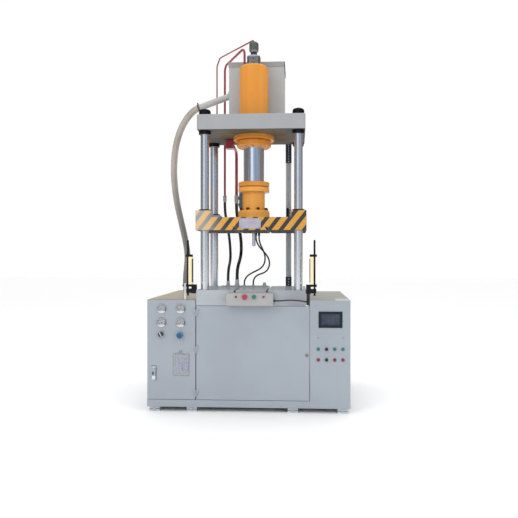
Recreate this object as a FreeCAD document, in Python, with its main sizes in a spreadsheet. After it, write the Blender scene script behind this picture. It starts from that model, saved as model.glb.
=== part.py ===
import FreeCAD, Part
import math
import os
import re

import Sketcher

# Four-column hydraulic press. Lengths are millimetres. Unless a piece says otherwise its
# own x runs to the right from the press axis, y runs back from the front faces of the
# cabinets, and z is the height above the floor. The part's origin is the floor point
# under the middle of its footprint.
SIZES = {
    "press_x": 26.5,
    "front_y": -646,
    "axis_y": 372.5,
    "left_edge": -960,
    "left_seam": -507,
    "right_seam": 540,
    "right_edge": 907,
    "left_depth": 1420,
    "right_depth": 1300,
    "foot_half": 47,
    "plinth_bottom": 44,
    "plinth_top": 109,
    "rail": 60,
    "cabinet_top": 1030,
    "bay_depth": 560,
    "door_bottom": 113,
    "door_top": 973,
    "door_depth": 20,
    "door_skin": 2,
    "hinge_r": 5.5,
    "lock_x": 511.5,
    "lock_z": 527.5,
    "bed_half": 505,
    "bed_depth": 745,
    "bed_bottom": 977,
    "bed_top": 1118,
    "slot_x": 148,
    "slot_neck": 18,
    "slot_head": 30,
    "slot_neck_depth": 17,
    "slot_depth": 31,
    "column_x": 435,
    "column_y": 295,
    "column_r": 40,
    "slider_half": 510,
    "slider_bottom": 1669,
    "slider_top": 1788,
    "boss_top": 1850,
    "boss_width": 143,
    "head_half": 500,
    "head_bottom": 2595,
    "head_top": 2735,
    "head_corner": 22,
    "barrel_r": 140,
    "barrel_top": 3284,
    "bore_r": 120,
    "ram_r": 100,
    "piston_bottom": 2828,
    "core_body_r": 107,
    "core_joint": 2100,
    "core_rod_r": 16,
    "tank_left": -265,
    "tank_right": 295,
    "tank_front": 525,
    "tank_back": 905,
    "lid_bottom": 3339,
    "lid_top": 3387,
    "box_left": -216,
    "box_right": 209,
    "box_front": -95,
    "box_bottom": 982,
    "box_top": 1098,
    "post_x": 582,
    "post_y": 15,
    "pipe_y": 800,
    "fitting_y": 620,
    "seat_depth": 3,
    "control_z": 1064,
    "upper_row": 585,
    "lower_row": 488,
    "first_control": 616,
    "control_pitch": 74.3,
}

os.makedirs("parts", exist_ok=True)
doc = FreeCAD.newDocument("HydraulicPress")
sheet = doc.addObject("Spreadsheet::Sheet", "Sizes")
for row, (alias, number) in enumerate(SIZES.items(), 1):
    sheet.set(f"A{row}", alias)
    sheet.set(f"B{row}", str(number))
    sheet.setAlias(f"B{row}", alias)
doc.recompute()

Vector = FreeCAD.Vector
exported = []
cuts = []


def bound(text):
    # an expression in sheet aliases, as the document's own expressions name them
    return re.sub("[a-z_]+", lambda m: "Sizes." + m.group(0) if m.group(0) in SIZES else m.group(0), text)


def value(text):
    return float(sheet.evalExpression(bound(text)))


def place(item, x="press_x", y="front_y", z="0"):
    item.setExpression("Placement.Base.x", bound(x))
    item.setExpression("Placement.Base.y", bound(y))
    item.setExpression("Placement.Base.z", bound(z))


def rect(left, low, right, high):
    return [(left, low), (right, low), (right, high), (left, high)]


def disc(x, y, radius):
    return ("disc", x, y, radius)


def add_disc(sketch, x, y, radius):
    centre = Vector(value(x), value(y), 0)
    index = sketch.addGeometry(Part.Circle(centre, Vector(0, 0, 1), value(radius)))
    for kind, text in (("DistanceX", x), ("DistanceY", y)):
        number = sketch.addConstraint(Sketcher.Constraint(kind, -1, 1, index, 3, value(text)))
        sketch.setExpression(f"Constraints[{number}]", bound(text))
    number = sketch.addConstraint(Sketcher.Constraint("Radius", index, value(radius)))
    sketch.setExpression(f"Constraints[{number}]", bound(radius))


def add_polygon(sketch, corners):
    points = [Vector(value(x), value(y), 0) for x, y in corners]
    first = sketch.GeometryCount
    count = len(points)
    for i in range(count):
        sketch.addGeometry(Part.LineSegment(points[i], points[(i + 1) % count]))
    for i in range(count):
        follower = first + (i + 1) % count
        sketch.addConstraint(Sketcher.Constraint("Coincident", first + i, 2, follower, 1))
    for i, corner in enumerate(corners):
        for kind, text in zip(("DistanceX", "DistanceY"), corner):
            number = sketch.addConstraint(Sketcher.Constraint(kind, -1, 1, first + i, 1, value(text)))
            sketch.setExpression(f"Constraints[{number}]", bound(text))


class Body:
    # One PartDesign body. Its prisms run between two coordinates of the axis that the
    # sketch's plane leaves out, and its turned features go about its own z or y axis.

    def __init__(self, label, x="press_x", y="front_y", z="0"):
        self.item = doc.addObject("PartDesign::Body", label)
        self.item.Label = label
        place(self.item, x, y, z)
        exported.append(self.item)

    def sketch(self, plane, offset, loops):
        origin = self.item.Origin.OriginFeatures
        support = next(o for o in origin if o.Role == plane + "_Plane")
        sketch = self.item.newObject("Sketcher::SketchObject", self.item.Name + "_outline")
        sketch.AttachmentSupport = (support, [""])
        sketch.MapMode = "FlatFace"
        sketch.setExpression("AttachmentOffset.Base.z", bound(offset))
        for loop in loops:
            if loop[0] == "disc":
                add_disc(sketch, *loop[1:])
            else:
                add_polygon(sketch, loop)
        return sketch

    def pad(self, plane, loops, start, end):
        # the XZ plane's normal points to the front, so its prisms start at their far end
        offset = f"-({end})" if plane == "XZ" else start
        pad = self.item.newObject("PartDesign::Pad", self.item.Name + "_pad")
        pad.Profile = self.sketch(plane, offset, loops)
        pad.setExpression("Length", bound(f"({end}) - ({start})"))
        self.item.Tip = pad
        return pad

    def cut(self, plane, loops, start, end):
        offset = f"-({start})" if plane == "XZ" else end
        before = self.item.Tip
        cut = self.item.newObject("PartDesign::Pocket", self.item.Name + "_cut")
        cut.Profile = self.sketch(plane, offset, loops)
        cut.setExpression("Length", bound(f"({end}) - ({start})"))
        self.item.Tip = cut
        cuts.append((before, cut))
        return cut

    def turn(self, corners, plane="XZ"):
        turned = self.item.newObject("PartDesign::Revolution", self.item.Name + "_turn")
        sketch = self.sketch(plane, "0", [corners])
        turned.Profile = sketch
        turned.ReferenceAxis = (sketch, ["V_Axis"])
        turned.Angle = 360
        self.item.Tip = turned

    def polar(self, feature, count):
        pattern = self.item.newObject("PartDesign::PolarPattern", self.item.Name + "_ring")
        pattern.Originals = [feature]
        pattern.Axis = (feature.Profile[0], ["N_Axis"])
        pattern.Angle = 360
        pattern.Occurrences = count
        self.item.Tip = pattern
        return pattern

    def line(self, feature, axis, length, count):
        # a row of copies along the feature's own sketch axis, H_Axis or V_Axis
        pattern = self.item.newObject("PartDesign::LinearPattern", self.item.Name + "_row")
        pattern.Originals = [feature]
        pattern.Direction = (feature.Profile[0], [axis])
        pattern.setExpression("Length", bound(length))
        pattern.Occurrences = count
        self.item.Tip = pattern
        return pattern

    def dress(self, kind, size, test):
        doc.recompute()
        base = self.item.Tip
        names = [f"Edge{i}" for i, edge in enumerate(base.Shape.Edges, 1) if test(edge)]
        dressing = self.item.newObject("PartDesign::" + kind, self.item.Name + "_edge")
        dressing.Base = (base, names)
        dressing.setExpression("Radius" if kind == "Fillet" else "Size", bound(size))
        self.item.Tip = dressing
        return dressing


def upright(edge):
    box = edge.BoundBox
    return box.ZLength > 1 and box.XLength < 0.01 and box.YLength < 0.01


def ring_at(height):
    def test(edge):
        box = edge.BoundBox
        return box.ZLength < 0.01 and abs(box.ZMin - height) < 0.01 and box.XLength > 1
    return test


def lathe(corners, axis=Vector(0, 0, 1)):
    # a solid turned about z or y from (radius, height) corners
    if axis.z:
        points = [Vector(value(r), 0, value(h)) for r, h in corners]
    else:
        points = [Vector(value(r), value(h), 0) for r, h in corners]
    wire = Part.makePolygon(points + points[:1])
    return Part.Face(wire).revolve(Vector(0, 0, 0), axis, 360)


def moved(shape, x, y, z):
    copy = shape.copy()
    copy.translate(Vector(x, y, z))
    return copy


def feature(label, shape, x="press_x", y="front_y", z="0"):
    item = doc.addObject("Part::Feature", label)
    item.Label = label
    item.Shape = shape
    place(item, x, y, z)
    exported.append(item)
    return item


def column_places():
    axis_y = value("axis_y")
    for x in (-value("column_x"), value("column_x")):
        for y in (axis_y - value("column_y"), axis_y + value("column_y")):
            yield x, y


def route(points, bend=None):
    # straight runs joined by tangent arcs; a hose's arcs are as large as its runs allow
    points = [Vector(*p) for p in points]
    edges = []
    radii = []
    here = points[0]
    for before, corner, after in zip(points, points[1:], points[2:]):
        back = before - corner
        ahead = after - corner
        half_turn = (math.pi - back.getAngle(ahead)) / 2
        radius = bend or 0.45 * min(back.Length, ahead.Length) / math.tan(half_turn)
        reach = radius * math.tan(half_turn)
        start = corner + back.normalize() * reach
        end = corner + ahead.normalize() * reach
        inward = (back + ahead).normalize()
        middle = corner + inward * (radius / math.cos(half_turn) - radius)
        edges.append(Part.LineSegment(here, start).toShape())
        edges.append(Part.Arc(start, middle, end).toShape())
        radii.append(radius)
        here = end
    edges.append(Part.LineSegment(here, points[-1]).toShape())
    return Part.Wire(edges), radii


def tube(label, points, radius, bend=None):
    path, radii = route(points, bend)
    direction = Vector(*points[1]) - Vector(*points[0])
    section = Part.Wire(Part.Circle(Vector(*points[0]), direction, radius).toShape())
    solid = path.makePipeShell([section], True, False)
    ideal = math.pi * radius ** 2 * path.Length
    ratio = solid.Volume / ideal
    least = min(radii) / (2 * radius) if radii else 0
    print(f"{label}: {path.Length:.0f} mm long, least bend {least:.1f} diameters, volume {ratio:.4f}")
    print("  radii", [round(r) for r in radii])
    return solid


# ---------------------------------------------------------------- base and cabinets

def base_frame():
    body = Body("base_frame")
    outline = [
        ("left_edge", "0"),
        ("right_edge", "0"),
        ("right_edge", "right_depth"),
        ("left_seam", "right_depth"),
        ("left_seam", "left_depth"),
        ("left_edge", "left_depth"),
    ]
    columns = [
        ("left_edge + rail", "left_seam - rail", "left_depth"),
        ("left_seam + rail", "left_seam + rail + 269", "right_depth"),
        ("left_seam + 2 * rail + 269", "left_seam + 2 * rail + 538", "right_depth"),
        ("right_seam - rail - 269", "right_seam - rail", "right_depth"),
        ("right_seam + rail", "right_edge - rail", "right_depth"),
    ]
    bays = []
    for left, right, depth in columns:
        for low, high in (("rail", "340"), ("400", "680"), ("740", "1020"), ("1080", depth + " - rail")):
            bays.append(rect(left, low, right, high))
    body.pad("XY", [outline] + bays, "plinth_bottom", "plinth_top")


def levelling_feet():
    # wedge mounts: a lower block, a sliding wedge and a top plate, with the wedge's screw in front
    half = value("foot_half")
    profile = [
        (-half, 0), (half, 0), (half, 14), (half - 4, 16), (half - 4, 28), (half, 30),
        (half, 41), (half - 3, 44), (-half + 3, 44), (-half, 41), (-half, 25), (-half + 4, 23),
        (-half + 4, 21), (-half, 19),
    ]
    outline = Part.makePolygon([Vector(-half, y, z) for y, z in profile + profile[:1]])
    block = Part.Face(outline).extrude(Vector(2 * half, 0, 0))
    screw = Part.makeCylinder(6, 14, Vector(0, -half - 10, 22), Vector(0, 1, 0))
    head = Part.makeCylinder(9.5, 7, Vector(0, -half - 12, 22), Vector(0, 1, 0))
    foot = block.multiFuse([screw, head])
    places = []
    for x, depth in ((-894, "left_depth"), (-547, "left_depth"), (384, "right_depth"), (839, "right_depth")):
        places.append((x, 60, 0))
        places.append((x, value(depth) - 60, 180))
    solids = []
    for x, y, turn in places:
        mount = foot.copy()
        mount.rotate(Vector(0, 0, 0), Vector(0, 0, 1), turn)
        solids.append(moved(mount, x, y, 0))
    feature("levelling_feet", Part.Compound(solids))


def bed_stand():
    # plates welded into a box with an open front; the columns pass through its top plate
    half, front, side, rear, plate = 500, 24, 10, 25, 30
    low = value("plinth_top")
    high = value("bed_bottom")
    depth = value("bed_depth") - front
    height = high - low - 2 * plate
    floor = Part.makeBox(2 * half, depth, plate, Vector(-half, front, low))
    top = Part.makeBox(2 * half, depth, plate, Vector(-half, front, high - plate))
    for x, y in column_places():
        top = top.cut(Part.makeCylinder(value("column_r"), plate, Vector(x, y, high - plate)))
    walls = [Part.makeBox(side, depth, height, Vector(x, front, low + plate)) for x in (-half, half - side)]
    back = Part.makeBox(2 * (half - side), rear, height, Vector(side - half, front + depth - rear, low + plate))
    feature("bed_stand", Part.Compound([floor, top, back] + walls))


def left_cabinet():
    body = Body("left_cabinet")
    body.pad("XY", [rect("left_edge", "24", "left_seam", "left_depth")], "plinth_top", "cabinet_top")
    inside = rect("left_edge + 4", "plinth_top + 4", "left_seam - 4", "cabinet_top - 4")
    body.cut("XZ", [inside], "28", "bay_depth")
    mouth = rect("left_edge + 22", "plinth_top + 22", "left_seam - 22", "cabinet_top - 22")
    body.cut("XZ", [mouth], "20", "29")
    # hose stub on the reservoir at the rear
    body.pad("XY", [disc("-873", "1360", "36")], "cabinet_top", "cabinet_top + 6")
    body.pad("XY", [disc("-873", "1360", "30")], "cabinet_top + 6", "cabinet_top + 45")
    # one leaf with a fixed knuckle for either door, at three heights in the seam
    for height in ("909", "573", "173"):
        leaf = rect("left_seam", "-4", "left_seam + 3", "60")
        body.pad("XY", [leaf], height + " - 32", height + " + 32")
        knuckles = [disc("left_seam - 5.5", "-6", "hinge_r"), disc("left_seam + 8.5", "-6", "hinge_r")]
        body.pad("XY", knuckles, height + " - 32", height)
        web = rect("left_seam - 5.5", "-8", "left_seam + 8.5", "-4")
        body.pad("XY", [web], height + " - 32", height)
        pins = [disc("left_seam - 5.5", "-6", "2.7"), disc("left_seam + 8.5", "-6", "2.7")]
        body.pad("XY", pins, height, height + " + 31")


def right_cabinet():
    body = Body("right_cabinet")
    body.pad("XY", [rect("right_seam", "0", "right_edge", "right_depth")], "plinth_top", "cabinet_top")
    # joint between the front and rear housings, over the top and down the outer side
    body.cut("XY", [rect("right_seam", "743", "right_edge", "747")], "cabinet_top - 3", "cabinet_top")
    body.cut("XZ", [rect("right_edge - 3", "plinth_top", "right_edge", "cabinet_top")], "743", "747")
    # touch-screen recess and the mounting holes of the controls
    body.cut("XZ", [rect("618.5", "778.5", "834.5", "926.5")], "0", "45")
    holes = []
    collars = []
    for number in range(4):
        for height in ("upper_row", "lower_row"):
            across = f"first_control + {number} * control_pitch"
            holes.append(disc(across, height, "12"))
            collars.append(disc(across, height, "15.5"))
    body.cut("XZ", holes, "0", "32")
    body.pad("XZ", collars + holes, "-5", "0")
    lamps = [disc(x, "upper_row + 103", "6") for x in ("first_control", "first_control + 3 * control_pitch")]
    body.pad("XZ", lamps, "-4", "0")
    # cable entry in the gap beside the bed
    body.pad("XY", [rect("right_seam - 28", "36", "right_seam", "75")], "bed_bottom + 8", "cabinet_top - 2")
    # louvres of the outer side
    louvre = [("130", "200"), ("330", "200"), ("330", "206"), ("130", "206")]
    low = body.cut("YZ", [louvre], "right_edge - 6", "right_edge")
    body.line(low, "V_Axis", "120", 7)


def bed():
    body = Body("bed")
    body.pad("XY", [rect("-bed_half", "0", "bed_half", "bed_depth")], "bed_bottom", "bed_top")
    body.dress("Chamfer", "4", upright)
    necks = []
    heads = []
    for side in ("-slot_x", "slot_x"):
        necks.append(rect(side + " - slot_neck / 2", "bed_top - slot_neck_depth - 2",
                          side + " + slot_neck / 2", "bed_top + 5"))
        heads.append(rect(side + " - slot_head / 2", "bed_top - slot_depth",
                          side + " + slot_head / 2", "bed_top - slot_neck_depth"))
    body.cut("XZ", necks, "-10", "bed_depth + 10")
    body.cut("XZ", heads, "-10", "bed_depth + 10")
    holes = [disc(str(x), str(y), "column_r") for x, y in column_places()]
    body.cut("XY", holes, "bed_bottom - 1", "bed_top + 1")
    # milled seat of the hose manifold
    seat = rect("-352", "fitting_y - 37", "132", "fitting_y + 37")
    body.cut("XY", [seat], "bed_top - seat_depth", "bed_top + 1")


def columns():
    column = lathe([
        ("0", "890"), ("column_r - 4", "890"), ("column_r", "894"), ("column_r", "head_top + 42"),
        ("column_r - 4", "head_top + 46"), ("0", "head_top + 46"),
    ])
    feature("columns", Part.Compound([moved(column, x, y, 0) for x, y in column_places()]))


def column_nuts():
    # domed cap nuts above the crosshead, round slotted nuts under the stand's top plate, and
    # the plain collars that the crosshead rests on
    def slotted(solid, radius, low, height):
        for turn in range(4):
            slot = Part.makeBox(14, 12, height, Vector(radius - 5, -6, value(low)))
            slot.rotate(Vector(0, 0, 0), Vector(0, 0, 1), 45 + 90 * turn)
            solid = solid.cut(slot)
        return solid
    cap = lathe([
        ("column_r", "head_top"), ("55", "head_top"), ("55", "head_top + 36"), ("52.5", "head_top + 46"),
        ("45", "head_top + 54"), ("32", "head_top + 60"), ("16", "head_top + 63"), ("0", "head_top + 64"),
        ("0", "head_top + 46"), ("column_r", "head_top + 46"),
    ])
    collar = lathe([
        ("column_r", "head_bottom - 35"), ("52", "head_bottom - 35"), ("56", "head_bottom - 31"),
        ("56", "head_bottom"), ("column_r", "head_bottom"),
    ])
    lower = lathe([
        ("column_r", "bed_bottom - 75"), ("48", "bed_bottom - 75"), ("48", "bed_bottom - 39"),
        ("43", "bed_bottom - 30"), ("column_r", "bed_bottom - 30"),
    ])
    rings = (slotted(cap, 55, "head_top", 34), collar, slotted(lower, 48, "bed_bottom - 75", 45))
    solids = [moved(ring, x, y, 0) for x, y in column_places() for ring in rings]
    feature("column_nuts", Part.Compound(solids))


def crosshead():
    body = Body("crosshead")
    body.pad("XY", [rect("-head_half", "0", "head_half", "bed_depth")], "head_bottom", "head_top")
    body.dress("Fillet", "head_corner", upright)
    body.dress("Chamfer", "4", lambda edge: edge.BoundBox.ZLength < 0.01)
    holes = [disc(str(x), str(y), "column_r") for x, y in column_places()]
    holes.append(disc("0", "axis_y", "barrel_r + 0.3"))
    body.cut("XY", holes, "head_bottom - 1", "head_top + 1")


# ---------------------------------------------------------------- main cylinder and tank

def main_cylinder():
    body = Body("main_cylinder", y="front_y + axis_y")
    body.turn([
        ("bore_r", "head_bottom - 40"), ("196", "head_bottom - 40"), ("200", "head_bottom - 36"),
        ("200", "head_bottom"), ("barrel_r", "head_bottom"), ("barrel_r", "barrel_top"),
        ("0", "barrel_top"), ("0", "barrel_top - 54"), ("bore_r", "barrel_top - 54"),
    ])
    body.dress("Fillet", "28", ring_at(value("barrel_top")))


def gland_cover():
    body = Body("gland_cover", y="front_y + axis_y")
    low = "head_bottom - 105"
    body.turn([
        ("ram_r + 0.3", low), ("155", low), ("167.5", low + " + 12"), ("167.5", "head_bottom - 54"),
        ("163", "head_bottom - 48"), ("150", "head_bottom - 48"), ("150", "head_bottom - 40"),
        ("bore_r - 0.3", "head_bottom - 40"), ("bore_r - 0.3", "head_bottom + 30"),
        ("ram_r + 0.3", "head_bottom + 30"),
    ])
    counterbore = body.cut("XY", [disc("133", "0", "15")], low + " - 1", low + " + 20")
    body.polar(counterbore, 12)


def prefill_valve():
    body = Body("prefill_valve", y="front_y + axis_y")
    corner = [
        ("-63.5", "-45"), ("-45", "-63.5"), ("45", "-63.5"), ("63.5", "-45"),
        ("63.5", "45"), ("45", "63.5"), ("-45", "63.5"), ("-63.5", "45"),
    ]
    body.pad("XY", [corner], "barrel_top", "barrel_top + 96")
    body.turn([
        ("0", "barrel_top + 90"), ("60", "barrel_top + 90"), ("60", "barrel_top + 96"),
        ("46", "barrel_top + 112"), ("30", "barrel_top + 114"), ("30", "barrel_top + 138"),
        ("46", "barrel_top + 158"), ("46", "barrel_top + 226"), ("34", "barrel_top + 240"),
        ("0", "barrel_top + 240"),
    ])
    body.pad("XZ", [disc("0", "barrel_top + 50", "20")], "-70", "-60")


# the return hose's route, from the end of the tank's pipe to the reservoir
RETURN_ROUTE = [Vector(*point) for point in (
    (-577, 640, 2967), (-624, 646, 2952), (-670, 663, 2920), (-725, 692, 2871), (-785, 735, 2798),
    (-837, 787, 2706), (-881, 848, 2594), (-913, 920, 2457), (-933, 1005, 2276), (-926, 1095, 2056),
    (-895, 1180, 1841), (-858, 1250, 1630), (-839, 1308, 1449), (-856, 1345, 1305), (-873, 1360, 1190),
    (-873, 1360, 1075),
)]


def tank_suction_stub():
    # the spool that joins the tank to the barrel behind the prefill valve
    spool = Part.makeCylinder(60, 40, Vector(0, value("tank_front") - 30, 3180), Vector(0, 1, 0))
    barrel = Part.makeCylinder(value("barrel_r") + 0.3, 400, Vector(0, value("axis_y"), 3000))
    return spool.cut(barrel)


def oil_tank():
    left = value("tank_left")
    right = value("tank_right")
    front = value("tank_front")
    back = value("tank_back")
    bottom = value("head_top")
    top = value("lid_top") - 7
    shell = Part.makeBox(right - left, back - front, top - bottom, Vector(left, front, bottom))
    seams = [edge for edge in shell.Edges if upright(edge)]
    shell = shell.makeFillet(8, seams)
    # return pipe, welded into the left wall and sloping down to the hose
    end = RETURN_ROUTE[0]
    slope = end - RETURN_ROUTE[1]
    slope.normalize()
    pipe = Part.makeCylinder(32.5, 345, end, slope)
    ring = Part.makeCylinder(48, 14, Vector(left - 10, 598, 3071), Vector(1, 0, 0))
    # two gussets carry the overhang on the crosshead's rear face
    gussets = []
    for x in (-150, 180):
        rear = value("bed_depth")
        corners = [Vector(x, rear, bottom), Vector(x, back - 20, bottom), Vector(x, rear, bottom - 120)]
        face = Part.Face(Part.makePolygon(corners + corners[:1]))
        gussets.append(face.extrude(Vector(12, 0, 0)))
    tank = shell.multiFuse([pipe, ring, tank_suction_stub()] + gussets)
    feature("oil_tank", tank.removeSplitter())


def tank_lid():
    body = Body("tank_lid")
    outer = rect("tank_left - 5", "tank_front - 5", "tank_right + 5", "tank_back + 5")
    body.pad("XY", [outer], "lid_bottom", "lid_top")
    body.dress("Fillet", "10", upright)
    inner = rect("tank_left - 1", "tank_front - 1", "tank_right + 1", "tank_back + 1")
    body.cut("XY", [inner], "lid_bottom", "lid_top - 6")
    # breather cap at the rear
    body.pad("XY", [disc("180", "800", "28")], "lid_top", "lid_top + 30")


# ---------------------------------------------------------------- pipes and hoses

def pilot_pipe():
    top = value("barrel_top") + 240
    back = value("pipe_y")
    points = [(0, 372.5, top), (0, 372.5, top + 26), (-395, back, 3530), (-426, back, 3440), (-426, back, 940),
              (-426, value("bed_depth"), 940)]
    first, radii = route(points[:2] + [(-60, 440, 3548)] + points[2:], 22)
    section = Part.Wire(Part.Circle(Vector(*points[0]), Vector(0, 0, 1), 7).toShape())
    feature("pilot_pipe", first.makePipeShell([section], True, False))


def pressure_pipe():
    back = value("pipe_y")
    points = [(-92, 372.5, value("barrel_top")), (-92, 372.5, 3478), (-342, back, 3440), (-342, back, 2067)]
    feature("pressure_pipe", tube("pressure_pipe", points, 11, 62))


def lower_port_pipe():
    axis = Vector(0, value("axis_y"), 0)
    block = Part.makeBox(76, 84, 84, Vector(-286, 452, value("head_bottom") - 90))
    radial = Vector(-248, 494, 0) - axis
    radial.normalize()
    centre = axis + Vector(0, 0, value("head_bottom") - 20)
    stub = Part.makeCylinder(17, 70, centre + radial * 200.3, radial)
    back = 790
    height = value("head_bottom") - 62
    points = [(-217, 520, height), (-217, back, height), (-217, back, 2067)]
    pipe = tube("lower_port_pipe", points, 15, 70)
    feature("lower_port_pipe", block.multiFuse([stub, pipe]).removeSplitter())


def clamp_pair():
    # worm-drive bands round both ends of the return hose, each with its screw housing
    band = Part.makeCylinder(39, 16).cut(Part.makeCylinder(35.3, 16))
    screw = Part.makeCylinder(7, 26, Vector(45, -13, 8), Vector(0, 1, 0))
    clamps = []
    for end, inner in ((RETURN_ROUTE[0], RETURN_ROUTE[1]), (RETURN_ROUTE[-1], RETURN_ROUTE[-2])):
        direction = inner - end
        direction.normalize()
        clamp = band.fuse(screw)
        clamp.Placement = FreeCAD.Placement(end + direction * 5, FreeCAD.Rotation(Vector(0, 0, 1), direction))
        clamps.append(clamp)
    return clamps


def hose_fittings():
    def coupling(radius, low):
        return lathe([
            ("0", low), (f"{radius} * 0.84", low), (f"{radius} * 0.84", low + " + 12"),
            (radius, low + " + 15"), (radius, "2040"), (f"{radius} * 0.9", "2042"),
            (f"{radius} * 0.9", "2046"), (f"{radius} * 1.08", "2047"), (f"{radius} * 1.08", "2067"),
            ("0", "2067"),
        ])
    solids = [moved(coupling("18", "2000"), -342, value("pipe_y"), 0),
              moved(coupling("21", "1985"), -217, 790, 0)]
    feature("hose_fittings", Part.Compound(solids + clamp_pair()))


def pressure_hose():
    points = [
        (-342, 800, 2000), (-342, 800, 1920), (-330, 803, 1828), (-312, 806, 1732), (-297, 806, 1637),
        (-287, 803, 1545), (-282, 800, 1460), (-281, 781, 1408), (-281, 746, 1366), (-282, 674, 1325),
        (-284, 638, 1283), (-285, 620, 1231), (-285, 620, 1177),
    ]
    feature("pressure_hose", tube("pressure_hose", points, 14))


def lower_port_hose():
    points = [
        (-217, 790, 1985), (-217, 790, 1908), (-205, 795, 1820), (-189, 799, 1730), (-176, 798, 1645),
        (-168, 794, 1570), (-166, 790, 1502), (-168, 773, 1449), (-173, 741, 1403), (-183, 669, 1346),
        (-190, 637, 1300), (-192, 620, 1246), (-192, 620, 1191),
    ]
    feature("lower_port_hose", tube("lower_port_hose", points, 16.5))


def core_hoses():
    # the rear elbow feeds the left fitting and the front elbow the right one, so they cross
    rear_one = [
        (28, 700, 1640), (28, 700, 1602), (40, 698, 1556), (62, 694, 1511), (83, 688, 1463), (94, 680, 1409),
        (87, 670, 1355), (58, 660, 1311), (12, 650, 1283), (-33, 640, 1262), (-72, 629, 1239),
        (-102, 621, 1210), (-118, 620, 1173), (-118, 620, 1137),
    ]
    feature("core_hose_left", tube("core_hose_left", rear_one, 8))
    front_one = [
        (0, 652, 1640), (0, 652, 1602), (14, 652, 1558), (41, 652, 1518), (75, 652, 1482), (107, 651, 1445),
        (131, 650, 1405), (141, 648, 1361), (134, 646, 1316), (111, 643, 1278), (73, 638, 1254),
        (31, 631, 1243), (-1, 626, 1222), (-19, 621, 1196), (-26, 620, 1167), (-26, 620, 1137),
    ]
    feature("core_hose_right", tube("core_hose_right", front_one, 8))


def return_hose():
    feature("return_hose", tube("return_hose", RETURN_ROUTE, 35))


def bed_manifold():
    seat = value("bed_top") - value("seat_depth")
    face = value("bed_top") + 10
    base = Part.makeBox(480, 70, face - seat, Vector(-350, value("fitting_y") - 35, seat))

    def fitting(radius, top):
        height = top - face
        hexagon = Part.makePolygon([
            Vector(radius * math.cos(math.radians(a)), radius * math.sin(math.radians(a)), 0)
            for a in range(0, 361, 60)])
        nut = Part.Face(hexagon).extrude(Vector(0, 0, min(14, height)))
        if height <= 14:
            return nut
        return nut.fuse(Part.makeCylinder(radius * 0.82, height - 14, Vector(0, 0, 14)))
    solids = [base]
    for x, radius, top in ((-285, 21, 1177), (-192, 25, 1191), (-118, 13, 1137), (-26, 13, 1137), (89, 19, 1160)):
        solids.append(moved(fitting(radius, top), x, value("fitting_y"), face))
    feature("bed_manifold", solids[0].multiFuse(solids[1:]).removeSplitter())


# ---------------------------------------------------------------- scale, control box, guards

def scale_bar():
    body = Body("scale_bar")
    section = [
        ("306", "760"), ("326", "760"), ("326", "768"), ("342", "768"), ("342", "760"), ("362", "760"),
        ("362", "792"), ("306", "792"),
    ]
    body.pad("XY", [section], "bed_bottom + 40", "head_bottom + 90")
    for low, high in (("bed_bottom + 40", "bed_top - 10"), ("head_bottom + 10", "head_bottom + 90")):
        body.pad("XY", [rect("306", "bed_depth", "362", "760")], low, high)
    for low, high in (("bed_bottom + 40", "1215"), ("2405", "head_bottom + 90")):
        body.pad("XY", [rect("303", "764", "365", "795")], low, high)


def control_box():
    body = Body("control_box")
    body.pad("XY", [rect("box_left", "box_front + 4", "box_right", "0")], "box_bottom", "box_top")
    body.dress("Fillet", "6", upright)
    cover = rect("box_left + 3", "box_bottom + 3", "box_right - 3", "box_top - 3")
    body.pad("XZ", [cover], "box_front", "box_front + 4")
    holes = []
    collars = []
    for x, radius in (("-126.5", "11"), ("-46.5", "11"), ("37.5", "15"), ("123", "11")):
        holes.append(disc(x, "control_z", radius))
        collars.append(disc(x, "control_z", radius + " + 4"))
    body.cut("XZ", holes, "box_front", "box_front + 40")
    body.pad("XZ", collars + holes, "box_front - 4", "box_front")
    screws = []
    for x in ("box_left + 14", "box_right - 14"):
        for height in ("box_bottom + 14", "box_top - 14"):
            screws.append(disc(x, height, "4"))
    body.pad("XZ", screws, "box_front - 2", "box_front")
    # cable gland at the right end
    body.pad("YZ", [disc("-48", "1026", "13")], "box_right", "box_right + 10")
    body.pad("YZ", [disc("-48", "1026", "10")], "box_right + 10", "box_right + 22")


def control_cable():
    points = [
        (231, -48, 1026), (276, -48, 1026), (323, -49, 1031), (371, -50, 1033), (418, -50, 1031),
        (458, -48, 1026), (492, -38, 1020), (516, -14, 1015), (526, 16, 1013), (526, 36, 1013),
    ]
    feature("control_cable", tube("control_cable", points, 6))


def light_curtains():
    # housings with a recessed window on the side that faces the die space
    width = value("post_x") - 9.3 - 536
    housing = Part.makeBox(width, 45, 252, Vector(-536 - width, -8, 1172))
    window = Part.makeBox(3, 26, 216, Vector(-539, 2, 1190))
    left = housing.cut(window)
    right = left.mirror(Vector(0, 0, 0), Vector(1, 0, 0))
    feature("light_curtains", Part.Compound([left, right]))


def curtain_posts():
    x = -value("post_x")
    y = value("post_y")
    rod = Part.makeCylinder(9, 504, Vector(x, y, 1068))
    solids = [Part.makeCone(9, 5, 6, Vector(x, y, 1572))]
    # clamps that hold the housing by its ends
    for low in (1150, 1424):
        solids.append(Part.makeBox(44, 30, 22, Vector(x, y - 15, low)))
        solids.append(Part.makeCylinder(20, 22, Vector(x - 2, y, low)))
    # arm to the bed's side and the block bolted there
    solids.append(Part.makeBox(80, 32, 40, Vector(x - 3, y - 16, 1092)))
    solids.append(Part.makeCylinder(17, 40, Vector(x, y, 1092)))
    solids.append(Part.makeBox(44, 52, 82, Vector(-549, y - 10, 1087)))
    left = rod.multiFuse(solids).removeSplitter()
    right = left.mirror(Vector(0, 0, 0), Vector(1, 0, 0))
    # cable strip that rises from the hydraulic cabinet beside the left post
    strip = Part.makeBox(20, 6, 150, Vector(x - 37, y + 6, value("cabinet_top")))
    feature("curtain_posts", Part.Compound([left.fuse(strip).removeSplitter(), right]))


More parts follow.
